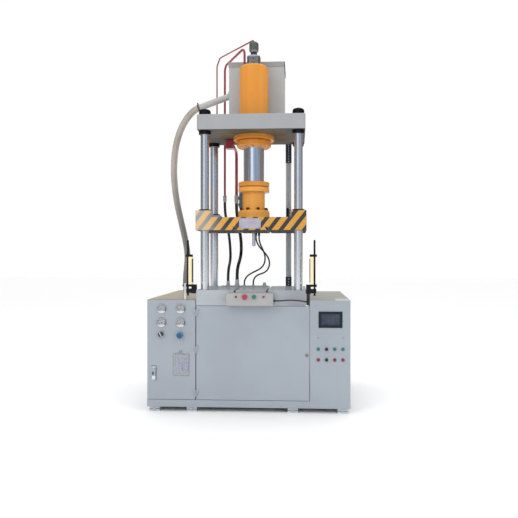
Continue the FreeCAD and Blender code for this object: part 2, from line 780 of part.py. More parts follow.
def touch_screen():
    body = Body("touch_screen")
    body.pad("XZ", [rect("619", "779", "834", "926")], "-4", "42")
    body.cut("XZ", [rect("633", "795", "820", "912")], "-4", "-1.5")


# ---------------------------------------------------------------- inside the base

def pump_motor():
    body = Body("pump_motor", x="press_x - 733", z="300")
    outline = [
        ("0", "150"), ("48", "150"), ("48", "196"), ("80", "200"), ("80", "214"), ("62", "222"),
        ("62", "250"), ("96", "256"), ("96", "268"), ("84", "268"), ("84", "500"), ("96", "500"),
        ("96", "520"), ("60", "540"), ("0", "540"),
    ]
    body.turn(outline, plane="XY")
    fin = body.pad("XZ", [rect("-2", "80", "2", "97")], "268", "500")
    body.polar(fin, 20)
    body.pad("XZ", [rect("-70", "-187", "70", "-60")], "280", "300")
    body.pad("XZ", [rect("-70", "-187", "70", "-60")], "470", "490")
    body.pad("XY", [rect("-110", "140", "110", "510")], "-187", "-171")


def valve_manifold():
    body = Body("valve_manifold")
    body.pad("XY", [rect("-150", "600", "150", "720")], "520", "640")
    for x in ("-105", "-35", "35", "105"):
        body.pad("XY", [rect(x + " - 23", "610", x + " + 23", "700")], "640", "690")
        body.pad("XY", [disc(x, "655", "19")], "690", "770")
    ports = [disc(x, "560", "14") for x in ("-105", "-35", "35", "105")]
    body.cut("XZ", ports, "600", "625")


# ---------------------------------------------------------------- slider and its cylinder

def slot_plates():
    # two layers of bolted plates under the slider's block: the gaps between the lower ones are
    # the T-slots' necks, and those between the upper ones are their heads
    half = value("slider_half")
    depth = value("bed_depth")
    plates = []
    for start, end, gap in (("0", "slot_neck_depth", "slot_neck"), ("slot_neck_depth", "slot_depth", "slot_head")):
        low = value("slider_bottom + " + start)
        thick = value(end) - value(start)
        layer = Part.makeBox(2 * half, depth, thick, Vector(-half, 0, low))
        layer = layer.makeChamfer(4, [edge for edge in layer.Edges if upright(edge)])
        for x, y in column_places():
            layer = layer.cut(Part.makeCylinder(50, thick, Vector(x, y, low)))
        rod_hole = Part.makeCylinder(value("core_rod_r + 3"), thick, Vector(0, value("axis_y"), low))
        layer = layer.cut(rod_hole)
        for side in ("-slot_x", "slot_x"):
            slot = Part.makeBox(value(gap), depth, thick, Vector(value(side) - value(gap) / 2, 0, low))
            layer = layer.cut(slot)
        plates += layer.Solids
    return plates


def slider():
    body = Body("slider_block")
    body.pad("XY", [rect("-slider_half", "0", "slider_half", "bed_depth")],
             "slider_bottom + slot_depth", "slider_top")
    bosses = []
    for left, right in (("-slider_half", "-slider_half + boss_width"), ("slider_half - boss_width", "slider_half")):
        for low, high in (("0", "boss_width"), ("bed_depth - boss_width", "bed_depth")):
            bosses.append(rect(left, low, right, high))
    body.pad("XY", bosses, "slider_top", "boss_top")
    body.dress("Chamfer", "4", upright)
    holes = [disc(str(x), str(y), "50") for x, y in column_places()]
    holes.append(disc("0", "axis_y", "core_rod_r + 3"))
    body.cut("XY", holes, "slider_bottom", "boss_top + 1")
    # tapped holes of the core cylinder's flange bolts
    tapped = []
    for turn in range(8):
        angle = math.radians(22.5 + 45 * turn)
        tapped.append(disc(f"{131 * math.cos(angle):.3f}", f"axis_y + {131 * math.sin(angle):.3f}", "10"))
    body.cut("XY", tapped, "slider_top - 52", "slider_top + 1")
    # hose elbows under the rear edge, with their necks in shallow holes of the middle plate
    below = value("slider_bottom") - 29
    elbows = [Part.makeCylinder(12, 35, Vector(x, y, below)) for x, y in ((0, 652), (28, 700))]
    layers = [plate.cut(elbows).Solids[0] for plate in slot_plates()]
    plates = feature("slider_plates", Part.Compound(layers + elbows))
    whole = doc.addObject("Part::Compound", "slider")
    whole.Label = "slider"
    whole.Links = [body.item, plates]
    for member in whole.Links:
        exported.remove(member)
    exported.append(whole)


def guide_bushes():
    bush = lathe([
        ("column_r + 0.3", "slider_bottom"), ("50", "slider_bottom"), ("50", "boss_top"), ("58", "boss_top"),
        ("60", "boss_top + 3"), ("60", "boss_top + 10"), ("56", "boss_top + 13"), ("46", "boss_top + 13"),
        ("column_r + 0.3", "boss_top + 8"),
    ])
    feature("guide_bushes", Part.Compound([moved(bush, x, y, 0) for x, y in column_places()]))


def ram():
    body = Body("ram", y="front_y + axis_y")
    profile = [
        ("0", "core_joint"), ("110", "core_joint"), ("110", "core_joint + 16"), ("ram_r", "core_joint + 16"),
        ("ram_r", "piston_bottom"), ("bore_r - 0.5", "piston_bottom"),
    ]
    # three seal grooves round the piston
    for groove in (16, 42, 68):
        for radius, height in (("bore_r - 0.5", groove), ("bore_r - 6", groove),
                               ("bore_r - 6", groove + 9), ("bore_r - 0.5", groove + 9)):
            profile.append((radius, f"piston_bottom + {height}"))
    profile += [("bore_r - 0.5", "piston_bottom + 90"), ("bore_r - 8", "piston_bottom + 98"),
                ("0", "piston_bottom + 98")]
    body.turn(profile)


def ram_flange():
    body = Body("ram_flange", y="front_y + axis_y")
    body.turn([
        ("110.3", "core_joint + 4"), ("147", "core_joint + 4"), ("151", "core_joint + 8"),
        ("151", "core_joint + 45"), ("147", "core_joint + 49"), ("100.3", "core_joint + 49"),
        ("100.3", "core_joint + 16.3"), ("110.3", "core_joint + 16.3"),
    ])
    counterbore = body.cut("XY", [disc("129", "0", "14")], "core_joint + 29", "core_joint + 50")
    body.polar(counterbore, 8)
    hole = body.cut("XY", [disc("129", "0", "8.3")], "core_joint + 3", "core_joint + 30")
    body.polar(hole, 8)


def core_cylinder():
    body = Body("core_cylinder", y="front_y + axis_y")
    body.turn([
        ("core_rod_r + 0.3", "slider_top"), ("153.5", "slider_top"), ("153.5", "slider_top + 68"),
        ("148", "slider_top + 82"), ("136", "slider_top + 90"), ("core_body_r", "slider_top + 90"),
        ("core_body_r", "core_joint - 49"), ("147", "core_joint - 49"), ("151", "core_joint - 45"),
        ("151", "core_joint - 8"), ("147", "core_joint - 4"), ("140", "core_joint - 4"),
        ("140", "core_joint"), ("0", "core_joint"), ("0", "core_joint - 60"), ("62", "core_joint - 60"),
        ("62", "slider_top + 42"), ("core_rod_r + 0.3", "slider_top + 42"),
    ])
    bolt_hole = body.cut("XY", [disc("131 * cos(22.5)", "131 * sin(22.5)", "10.3")],
                         "slider_top - 1", "slider_top + 91")
    body.polar(bolt_hole, 8)
    upper_hole = body.cut("XY", [disc("129", "0", "8.3")], "core_joint - 46", "core_joint + 1")
    body.polar(upper_hole, 8)
    # valve block with its two ports on the left
    body.pad("XY", [rect("-142", "-36", "-98", "36")], "1900", "2044")
    body.pad("YZ", [disc("0", "1935", "16"), disc("0", "2000", "16")], "-152", "-142")


def flange_bolts():
    def bolt(shank, head, height):
        stem = Part.makeCylinder(shank, height)
        cap = Part.makeCylinder(head, shank * 2, Vector(0, 0, height))
        socket = Part.makePolygon([
            Vector(head * 0.52 * math.cos(math.radians(a)), head * 0.52 * math.sin(math.radians(a)),
                   height + shank)
            for a in range(0, 361, 60)])
        return stem.fuse(cap).cut(Part.Face(socket).extrude(Vector(0, 0, shank + 1)))
    lower = bolt(9.7, 15, 140)
    upper = bolt(8, 12.5, 74)
    solids = []
    for turn in range(8):
        low_angle = math.radians(22.5 + 45 * turn)
        high_angle = math.radians(45 * turn)
        solids.append(moved(lower, 131 * math.cos(low_angle), 131 * math.sin(low_angle),
                            value("slider_top") - 50))
        solids.append(moved(upper, 129 * math.cos(high_angle), 129 * math.sin(high_angle),
                            value("core_joint") - 45))
    feature("flange_bolts", Part.Compound(solids), y="front_y + axis_y")


def scale_reader():
    body = Body("scale_reader")
    outline = [
        ("700", "slider_top"), ("744", "slider_top"), ("744", "1880"), ("757", "1880"), ("757", "1930"),
        ("712", "1930"), ("712", "slider_top + 12"), ("700", "slider_top + 12"),
    ]
    body.pad("YZ", [outline], "312", "336")


def core_rod():
    body = Body("core_rod", y="front_y + axis_y")
    body.turn([
        ("0", "1529"), ("12", "1529"), ("core_rod_r", "1533"), ("core_rod_r", "1900"), ("61.5", "1900"),
        ("61.5", "1940"), ("0", "1940"),
    ])


# ---------------------------------------------------------------- doors

def door_tray(body, left, right, low, high):
    body.pad("XZ", [rect(left, low, right, high)], "0", "door_depth")
    inner = rect(left + " + 4", low + " + 4", right + " - 4", high + " - 4")
    body.cut("XZ", [inner], "door_skin", "door_depth")


def door_knuckles(body, x, edge):
    # the door's own knuckles turn on the fixed pins, above the fixed knuckles
    for height in ("909", "573", "173"):
        loops = [disc(x, "-6", "hinge_r"), disc(x, "-6", "3")]
        body.pad("XY", loops, height + " + 0.5", height + " + 32")
        plate = rect(x + " + 4", "-8", edge, "0") if edge.startswith("left_seam + ") else \
            rect(edge, "-8", x + " - 4", "0")
        body.pad("XY", [plate], height + " + 0.5", height + " + 32")


def main_door():
    body = Body("main_door")
    door_tray(body, "left_seam + 5", "right_seam - 5", "door_bottom", "door_top")
    door_knuckles(body, "left_seam + 8.5", "left_seam + 24")
    # hat-section stiffeners on the back
    for x in (-170, 200):
        section = [
            (f"{x} - 35", "door_skin"), (f"{x} + 35", "door_skin"), (f"{x} + 22", "door_depth - 3"),
            (f"{x} - 22", "door_depth - 3"),
        ]
        body.pad("XY", [section], "door_bottom + 40", "door_top - 40")
    body.cut("XZ", [disc("lock_x", "lock_z", "11.3")], "-1", "door_depth")


def main_door_lock():
    body = Body("main_door_lock")
    body.pad("XZ", [disc("lock_x", "lock_z", "11")], "-1", "22")
    body.pad("XZ", [disc("lock_x", "lock_z", "13.5")], "-6", "-0.4")
    body.cut("XZ", [rect("lock_x - 2", "lock_z - 7.5", "lock_x + 2", "lock_z + 7.5")], "-6", "-3")
    cam = rect("lock_x - 13.5", "lock_z - 6", "lock_x + 7.5", "lock_z + 6")
    body.pad("XZ", [cam], "22", "23.5")


def left_door():
    body = Body("left_door")
    door_tray(body, "left_edge + 2", "left_seam - 4", "door_bottom", "cabinet_top - 4")
    door_knuckles(body, "left_seam - 5.5", "left_seam - 24")
    holes = [disc(x, height, "38.5") for x in ("-824", "-647") for height in ("948", "821")]
    holes += [disc("-827.5", "712", "8.5"), disc("-652", "703", "8.5")]
    body.cut("XZ", holes, "-1", "door_depth")
    # lock body of the pull-out paddle, with its plate in front and its key barrel
    body.pad("XZ", [rect("-918", "284", "-872", "421")], "-4", "0")
    body.pad("XZ", [rect("-913", "291", "-877", "413")], "0", "26")
    body.pad("XZ", [disc("-895", "408", "8")], "-8", "-4")


def gauges():
    case = lathe([
        ("0", "-3"), ("3", "-3"), ("3", "-7"), ("4", "-7"), ("4", "-2"), ("36", "-2"), ("36", "-12"), ("40", "-12"),
        ("42", "-9"), ("42", "-0.4"), ("38", "-0.4"), ("38", "34"), ("12", "38"), ("12", "60"), ("0", "60"),
    ], Vector(0, 1, 0))
    needle = Part.makeBox(3, 1.5, 30, Vector(-1.5, -6, 0))
    needle.rotate(Vector(0, 0, 0), Vector(0, 1, 0), -130)
    gauge = case.fuse(needle)
    places = [(x, z) for x in (-824, -647) for z in (948, 821)]
    feature("gauges", Part.Compound([moved(gauge, x, 0, z) for x, z in places]))


def knob(label, x, z, radius, depth):
    body = Body(label, x=f"press_x + {x}", z=str(z))
    body.turn([
        ("0", f"-{depth}"), (f"{radius} - 6", f"-{depth}"), (f"{radius} - 2", f"-{depth} + 3"),
        (radius, f"-{depth} + 14"), (f"{radius} - 3", "-10"), ("13", "-8"), ("13", "-0.4"),
        ("8", "-0.4"), ("8", "38"), ("0", "38"),
    ], plane="XY")
    scallop = body.cut("XZ", [disc(f"{radius} + 3", "0", "6")], f"-{depth} - 1", "-9")
    body.polar(scallop, 10)


def door_handle():
    # paddle that pulls out of the lock about a pivot at its lower end
    body = Body("door_handle", x="press_x - 895", z="300")
    body.pad("XZ", [rect("-14", "0", "14", "96")], "-15", "-5")
    body.dress("Fillet", "4", lambda edge: edge.BoundBox.YLength > 9)
    body.pad("YZ", [disc("-9.4", "0", "4.4")], "-17", "17")


def document_pouch():
    # a clear sleeve that hangs from the blue knob by a flat looped band
    y = -7
    sleeve = Part.makeBox(154, 5, 214, Vector(-719, y - 3, 328))
    edges = [edge for edge in sleeve.Edges if edge.BoundBox.YLength > 4]
    sleeve = sleeve.makeFillet(6, edges)
    solids = [Part.makeBox(26, 5, 26, Vector(-660, y - 3, 538))]
    for x in (-672, -632):
        foot = Vector(-647, y + 2, 560)
        head = Vector(x, y + 2, 687)
        solids.append(Part.makeCylinder(1.2, (head - foot).Length, foot, head - foot))
    top = Part.makeCylinder(1.2, 40, Vector(-672, y + 2, 687), Vector(1, 0, 0))
    pouch = sleeve.multiFuse(solids + [top])
    feature("document_pouch", pouch.removeSplitter())


# ---------------------------------------------------------------- controls

def push_button(label, x, z, face, radius, cap_radius, depth):
    # face is the panel surface's y; the cap stands proud of it by the depth
    body = Body(label, x=f"press_x + {x}", y=f"front_y + {face}", z=str(z))
    body.turn([
        ("0", f"-{depth}"), (f"{cap_radius} - 2", f"-{depth}"), (cap_radius, f"-{depth} + 2"),
        (cap_radius, "-9"), (radius, "-9"), (radius, "20"), ("0", "20"),
    ], plane="XY")


def selector(label, x, z):
    body = Body(label, x=f"press_x + {x}", z=str(z))
    body.turn([("0", "-12"), ("13", "-12"), ("13", "-5.5"), ("11.6", "-5.5"), ("11.6", "20"), ("0", "20")],
              plane="XY")
    body.pad("XZ", [rect("-3.5", "-12", "3.5", "12")], "-22", "-12")


def controls():
    height = value("control_z")
    push_button("run_button_left", -126.5, height, "box_front", "10", "10.6", 12)
    push_button("stop_mushroom", -46.5, height, "box_front", "10.6", "24", 33)
    push_button("start_button", 37.5, height, "box_front", "14.6", "19", 20)
    push_button("run_button_right", 123, height, "box_front", "10", "10.6", 12)
    names = ("button_first", "selector", "button_third", "button_fourth")
    for level in ("upper", "lower"):
        for number, name in enumerate(names):
            across = f"first_control + {number} * control_pitch"
            if name == "selector":
                selector(f"{level}_{name}", across, level + "_row")
            else:
                push_button(f"{level}_{name}", across, level + "_row", "0", "11", "11.6", 12)


base_frame()
levelling_feet()
bed_stand()
left_cabinet()
right_cabinet()
bed()
columns()
column_nuts()
crosshead()
main_cylinder()
gland_cover()
prefill_valve()
oil_tank()
tank_lid()
pilot_pipe()
pressure_pipe()
lower_port_pipe()
hose_fittings()
pressure_hose()
lower_port_hose()
core_hoses()
return_hose()
bed_manifold()
scale_bar()
control_box()
control_cable()
light_curtains()
curtain_posts()
touch_screen()
pump_motor()
valve_manifold()
slider()
guide_bushes()
ram()
ram_flange()
core_cylinder()
flange_bolts()
scale_reader()
core_rod()
main_door()
main_door_lock()
left_door()
gauges()
knob("pressure_knob", -827.5, 712, "25", 38)
knob("blue_knob", -652, 703, "30", 42)
door_handle()
document_pouch()
controls()

doc.recompute()
for item in doc.Objects:
    if "Invalid" in item.State or "Error" in item.State:
        raise RuntimeError(f"{item.Name}: {item.State}")
for before, after in cuts:
    if after.Shape.Volume > before.Shape.Volume - 0.1:
        raise RuntimeError(f"{after.Name} cuts nothing")
for item in exported:
    if item.Shape.isNull() or not item.Shape.isValid():
        raise RuntimeError(f"{item.Label} has no valid shape")
    item.Shape.exportStep(f"parts/{item.Label}.step")
print(len(exported), "sub-parts")
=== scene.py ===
import bpy
import bmesh
import math
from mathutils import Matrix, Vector


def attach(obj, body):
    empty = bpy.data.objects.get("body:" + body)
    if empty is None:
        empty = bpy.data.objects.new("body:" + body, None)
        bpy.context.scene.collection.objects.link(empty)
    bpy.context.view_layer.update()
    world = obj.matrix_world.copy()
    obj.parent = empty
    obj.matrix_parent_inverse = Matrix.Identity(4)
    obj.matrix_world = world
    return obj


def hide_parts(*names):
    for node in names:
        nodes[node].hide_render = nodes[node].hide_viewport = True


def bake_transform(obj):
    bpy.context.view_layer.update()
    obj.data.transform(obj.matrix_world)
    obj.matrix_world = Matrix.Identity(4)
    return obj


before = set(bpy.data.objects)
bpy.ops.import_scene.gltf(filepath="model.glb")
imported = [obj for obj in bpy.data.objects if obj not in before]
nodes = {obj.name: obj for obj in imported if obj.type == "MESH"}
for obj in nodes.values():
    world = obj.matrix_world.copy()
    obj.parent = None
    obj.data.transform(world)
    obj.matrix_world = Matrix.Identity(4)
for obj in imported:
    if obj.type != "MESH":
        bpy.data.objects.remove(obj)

scene = bpy.context.scene
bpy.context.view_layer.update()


# camera, at the photograph's viewpoint
camera = {"place": (0.4525, -5.736, 1.433), "turn": 2.906, "lens": 38.80, "shift": (-0.0194, -0.0061)}

lens = bpy.data.cameras.new("camera")
lens.lens = camera["lens"]
lens.sensor_width = 36
lens.shift_x, lens.shift_y = camera["shift"]
lens.clip_end = 200
eye = bpy.data.objects.new("camera", lens)
eye.location = camera["place"]
eye.rotation_euler = (math.radians(90), 0, math.radians(camera["turn"]))
scene.collection.objects.link(eye)
scene.camera = eye
print("camera placed")


# materials: a socket that Python sums can use, and a finish that holds the nodes
class Link:
    def __init__(self, finish, socket):
        self.finish = finish
        self.socket = socket

    def __add__(self, other):
        return self.finish.maths("ADD", self, other)

    def __radd__(self, other):
        return self.finish.maths("ADD", other, self)

    def __sub__(self, other):
        return self.finish.maths("SUBTRACT", self, other)

    def __rsub__(self, other):
        return self.finish.maths("SUBTRACT", other, self)

    def __mul__(self, other):
        return self.finish.maths("MULTIPLY", self, other)

    def __rmul__(self, other):
        return self.finish.maths("MULTIPLY", other, self)

    def __truediv__(self, other):
        return self.finish.maths("DIVIDE", self, other)

    def __gt__(self, other):
        return self.finish.maths("GREATER_THAN", self, other)

    def __lt__(self, other):
        return self.finish.maths("LESS_THAN", self, other)


class Nodes:
    def __init__(self, tree):
        self.tree = tree
        self.spot = None

    def node(self, kind, settings=None, values=None, output=0):
        made = self.tree.nodes.new(kind)
        for name, value in (settings or {}).items():
            if name == "stops":
                ramp = made.color_ramp
                while len(ramp.elements) < len(value):
                    ramp.elements.new(1)
                for stop, (place, colour) in zip(ramp.elements, value):
                    stop.position = place
                    stop.color = (*colour, 1)
            else:
                setattr(made, name, value)
        for socket, value in (values or {}).items():
            self.feed(made.inputs[socket], value)
        return Link(self, made.outputs[output])

    def feed(self, socket, value):
        if isinstance(value, Link):
            self.tree.links.new(value.socket, socket)
        elif socket.type == "RGBA" and len(value) == 3:
            socket.default_value = (*value, 1)
        else:
            socket.default_value = value

    def maths(self, operation, *values):
        return self.node("ShaderNodeMath", {"operation": operation}, dict(enumerate(values)))

    def axes(self, spot=None):
        parts = self.node("ShaderNodeSeparateXYZ", values={0: spot or self.spot})
        outlets = parts.socket.node.outputs
        return [Link(self, outlets[axis]) for axis in "XYZ"]

    def stretched(self, scale):
        return self.node("ShaderNodeMapping", values={"Vector": self.spot, "Scale": scale})

    def noise(self, scale, detail=2.0, stretch=None):
        spot = self.stretched(stretch) if stretch else self.spot
        return self.node("ShaderNodeTexNoise", values={"Vector": spot, "Scale": scale, "Detail": detail})

    def mixed(self, first, second, factor):
        return self.node("ShaderNodeMix", {"data_type": "RGBA"}, {0: factor, 6: first, 7: second}, 2)

    def chosen(self, first, second, factor):
        # one of two numbers, by a mask
        return first * (1 - factor) + second * factor

    def ramp(self, value, low, high):
        # 0 at low and 1 at high, smooth between them
        values = {"Value": value, "From Min": low, "From Max": high}
        return self.node("ShaderNodeMapRange", {"interpolation_type": "SMOOTHSTEP"}, values)


class Finish(Nodes):
    def __init__(self, name, roughness=0.5, metallic=0.0, **fixed):
        self.material = bpy.data.materials.new(name)
        self.material.use_nodes = True
        super().__init__(self.material.node_tree)
        self.shader = self.tree.nodes["Principled BSDF"]
        self.set(Roughness=roughness, Metallic=metallic, **fixed)
        self.spot = self.node("ShaderNodeTexCoord", output="Object")
        self.uv = self.node("ShaderNodeTexCoord", output="UV")

    def set(self, **inputs):
        for socket, value in inputs.items():
            self.feed(self.shader.inputs[socket.replace("_", " ")], value)

    def now(self, name):
        # what feeds one of the shader's sockets at present
        socket = self.shader.inputs[name]
        return Link(self, socket.links[0].from_socket) if socket.links else socket.default_value

    def bump(self, height, strength=0.3, distance=0.001):
        values = {"Height": height, "Strength": strength, "Distance": distance}
        return self.node("ShaderNodeBump", values=values)

    def within(self, x=None, y=None, z=None):
        # 1 inside a box that is given by some of its sides, in metres
        mask = None
        for axis, span in zip(self.axes(), (x, y, z)):
            for limit, above in zip(span or (None, None), (True, False)):
                if limit is not None:
                    part = axis > limit if above else axis < limit
                    mask = part if mask is None else mask * part
        return mask

    def cover(self, mask, colour, metallic=0.0, rough=None, mottle=0.12, scale=30):
        # another coat over part of the piece, slightly mottled; a rough one has no gloss over it
        shade = [c * (1 - mottle) for c in colour]
        coat = self.mixed(shade, colour, self.ramp(self.noise(scale, 4), 0.35, 0.65))
        self.set(Base_Color=self.mixed(self.now("Base Color"), coat, mask))
        self.set(Metallic=self.now("Metallic") * (1 - mask) + mask * metallic)
        if rough is not None:
            self.set(Roughness=self.now("Roughness") * (1 - mask) + mask * rough)
            if rough > 0.6:
                self.set(Coat_Weight=(1 - mask) * self.now("Coat Weight"))


def enamel(name, colour, shade, gloss=0.38, peel=0.12, coat=0.25, weave=1.6, grime=0.5):
    # sprayed enamel: slow tone drift, orange peel and a few faint rubbed marks
    paint = Finish(name, gloss, Coat_Weight=coat, Coat_Roughness=0.12)
    drift = paint.ramp(paint.noise(weave, 3), 0.35, 0.68)
    marks = paint.ramp(paint.noise(34, 6, (1, 1, 0.35)), 0.62, 0.8)
    tone = paint.mixed(shade, colour, drift)
    paint.set(Base_Color=paint.mixed(tone, [c * 0.86 for c in shade], marks * grime),
              Roughness=gloss + marks * 0.12 + drift * 0.04,
              Normal=paint.bump(paint.noise(420, 2), peel, 0.0006))
    return paint


def runsDown(paint, colour, share=0.5):
    # faint vertical runs of thicker paint
    runs = paint.ramp(paint.noise(26, 3, (1, 1, 0.03)), 0.42, 0.66)
    paint.set(Base_Color=paint.mixed(paint.now("Base Color"), colour, runs * share))
    return paint


def metal(name, colour, shade, rough=0.3, grain=(1, 1, 1), scale=90.0, depth=0.12):
    # ground, turned or plated metal: fine streaks along the grain and slight handling marks
    steel = Finish(name, rough, 1.0)
    streaks = steel.noise(scale, 4, grain)
    marks = steel.ramp(steel.noise(22, 5), 0.55, 0.8)
    tone = steel.mixed(shade, colour, steel.ramp(streaks, 0.3, 0.7))
    steel.set(Base_Color=steel.mixed(tone, shade, marks * 0.4),
              Roughness=rough + (streaks - 0.5) * 0.12 + marks * 0.08,
              Normal=steel.bump(streaks, depth, 0.0002))
    return steel


def moulded(name, colour, shade, rough=0.5, grain=900.0, depth=0.15, coat=0.0):
    # moulded plastic or rubber: fine grain with paler dusty patches
    plastic = Finish(name, rough, Coat_Weight=coat)
    dust = plastic.ramp(plastic.noise(12, 5), 0.45, 0.75)
    plastic.set(Base_Color=plastic.mixed(colour, shade, dust * 0.6),
                Roughness=rough + dust * 0.12,
                Normal=plastic.bump(plastic.noise(grain, 2), depth, 0.0002))
    return plastic


proudOfFront = (None, -0.6465)  # the span in y of what stands proud of doors and panels
cabinetTop = 1.030  # the height of both cabinets
cylinderX = 0.0265  # the main cylinder's axis
frontFace = -0.6455  # the front faces of the bed and the slider lie in front of this
greyLight = (0.318, 0.355, 0.402)
greyShade = (0.295, 0.328, 0.370)
plated = (0.60, 0.60, 0.60)
nearBlack = (0.02, 0.02, 0.021)
greyEnamel = enamel("grey_enamel", greyLight, greyShade)
tankEnamel = enamel("tank_enamel", (0.425, 0.43, 0.425), (0.39, 0.39, 0.385))
yellowLight = (0.66, 0.25, 0.022)
yellowShade = (0.60, 0.215, 0.016)
yellowEnamel = enamel("yellow_enamel", yellowLight, yellowShade, 0.4, 0.1, 0.05)
runsDown(yellowEnamel, (0.72, 0.31, 0.05))
maroonEnamel = enamel("maroon_enamel", (0.36, 0.03, 0.055), (0.27, 0.02, 0.04), 0.28, 0.1, 0.4, 6)
motorEnamel = enamel("motor_enamel", (0.10, 0.17, 0.26), (0.07, 0.13, 0.21))
hardChrome = metal("hard_chrome", (0.86, 0.88, 0.92), (0.76, 0.78, 0.83), 0.10, (1, 1, 0.04), 40, 0.02)
columnChrome = metal("column_chrome", (0.84, 0.86, 0.88), (0.74, 0.76, 0.79), 0.25, (1, 1, 0.04), 40, 0.0)
columnChrome.set(Roughness=0.24 + columnChrome.noise(40, 3, (1, 1, 0.04)) * 0.03)
groundSteel = metal("ground_steel", (0.62, 0.63, 0.64), (0.5, 0.51, 0.52), 0.3, (12, 1, 1), 80)
blackSteel = metal("black_steel", (0.032, 0.032, 0.036), (0.02, 0.02, 0.022), 0.42, (1, 1, 1), 160, 0.06)
boltSteel = metal("bolt_steel", (0.13, 0.07, 0.04), (0.07, 0.045, 0.03), 0.4, (1, 1, 1), 160, 0.2)
lockSteel = metal("lock_steel", (0.30, 0.25, 0.22), (0.20, 0.17, 0.15), 0.4, (1, 1, 1), 200, 0.15)
blackPlastic = moulded("black_plastic", (0.018, 0.019, 0.022), (0.035, 0.036, 0.04), 0.35)
screenCase = moulded("screen_case", (0.012, 0.016, 0.022), (0.022, 0.027, 0.034), 0.5)
screenCase.set(Specular_IOR_Level=0.2)
greenPlastic = moulded("green_plastic", (0.008, 0.15, 0.125), (0.02, 0.21, 0.17), 0.3, 900, 0.08, 0.4)
redPlastic = moulded("red_plastic", (0.34, 0.022, 0.05), (0.39, 0.045, 0.07), 0.34, 900, 0.08, 0.4)
darkRedPlastic = moulded("dark_red_plastic", (0.19, 0.012, 0.03), (0.26, 0.03, 0.05), 0.32, 900,
                         0.08, 0.4)
print("shared finishes made")


# cords: their routes are the ones in the part's source
cords = {
    "pressure_hose": {
        "route": [
            (-0.3155, 0.154, 2.000), (-0.3155, 0.154, 1.920), (-0.3035, 0.157, 1.828),
            (-0.2855, 0.160, 1.732), (-0.2705, 0.160, 1.637), (-0.2605, 0.157, 1.545),
            (-0.2555, 0.154, 1.460), (-0.2545, 0.135, 1.408), (-0.2545, 0.100, 1.366),
            (-0.2555, 0.028, 1.325), (-0.2575, -0.008, 1.283), (-0.2585, -0.026, 1.231),
            (-0.2585, -0.026, 1.177)],
        "length": 0.899, "diameter": 0.028, "stiffness": "stiff", "slot": "black_rubber"},
    "lower_port_hose": {
        "route": [
            (-0.1905, 0.144, 1.985), (-0.1905, 0.144, 1.908), (-0.1785, 0.149, 1.820),
            (-0.1625, 0.153, 1.730), (-0.1495, 0.152, 1.645), (-0.1415, 0.148, 1.570),
            (-0.1395, 0.144, 1.502), (-0.1415, 0.127, 1.449), (-0.1465, 0.095, 1.403),
            (-0.1565, 0.023, 1.346), (-0.1635, -0.009, 1.300), (-0.1655, -0.026, 1.246),
            (-0.1655, -0.026, 1.191)],
        "length": 0.857, "diameter": 0.033, "stiffness": "stiff", "slot": "black_rubber"},
    "core_hose_left": {
        "route": [
            (0.0545, 0.054, 1.640), (0.0545, 0.054, 1.602), (0.0665, 0.052, 1.556),
            (0.0885, 0.048, 1.511), (0.1095, 0.042, 1.463), (0.1205, 0.034, 1.409),
            (0.1135, 0.024, 1.355), (0.0845, 0.014, 1.311), (0.0385, 0.004, 1.283),
            (-0.0065, -0.006, 1.262), (-0.0455, -0.017, 1.239), (-0.0755, -0.025, 1.210),
            (-0.0915, -0.026, 1.173), (-0.0915, -0.026, 1.137)],
        "length": 0.620, "diameter": 0.016, "stiffness": "medium", "slot": "black_rubber"},
    "core_hose_right": {
        "route": [
            (0.0265, 0.006, 1.640), (0.0265, 0.006, 1.602), (0.0405, 0.006, 1.558),
            (0.0675, 0.006, 1.518), (0.1015, 0.006, 1.482), (0.1335, 0.005, 1.445),
            (0.1575, 0.004, 1.405), (0.1675, 0.002, 1.361), (0.1605, 0.000, 1.316),
            (0.1375, -0.003, 1.278), (0.0995, -0.008, 1.254), (0.0575, -0.015, 1.243),
            (0.0255, -0.020, 1.222), (0.0075, -0.025, 1.196), (0.0005, -0.026, 1.167),
            (0.0005, -0.026, 1.137)],
        "length": 0.628, "diameter": 0.016, "stiffness": "medium", "slot": "black_rubber"},
    "return_hose": {
        "route": [
            (-0.5505, -0.006, 2.967), (-0.5975, 0.000, 2.952), (-0.6435, 0.017, 2.920),
            (-0.6985, 0.046, 2.871), (-0.7585, 0.089, 2.798), (-0.8105, 0.141, 2.706),
            (-0.8545, 0.202, 2.594), (-0.8865, 0.274, 2.457), (-0.9065, 0.359, 2.276),
            (-0.8995, 0.449, 2.056), (-0.8685, 0.534, 1.841), (-0.8315, 0.604, 1.630),
            (-0.8125, 0.662, 1.449), (-0.8295, 0.699, 1.305), (-0.8465, 0.714, 1.190),
            (-0.8465, 0.714, 1.075)],
        "length": 2.169, "diameter": 0.070, "stiffness": "stiff", "slot": "clear_hose"},
    "control_cable": {
        "route": [
            (0.2575, -0.694, 1.026), (0.3025, -0.694, 1.026), (0.3495, -0.695, 1.031),
            (0.3975, -0.696, 1.033), (0.4445, -0.696, 1.031), (0.4845, -0.694, 1.026),
            (0.5185, -0.684, 1.020), (0.5425, -0.660, 1.015), (0.5525, -0.630, 1.013),
            (0.5525, -0.610, 1.013)],
        "length": 0.348, "diameter": 0.012, "stiffness": "medium", "slot": "black_rubber"},
}


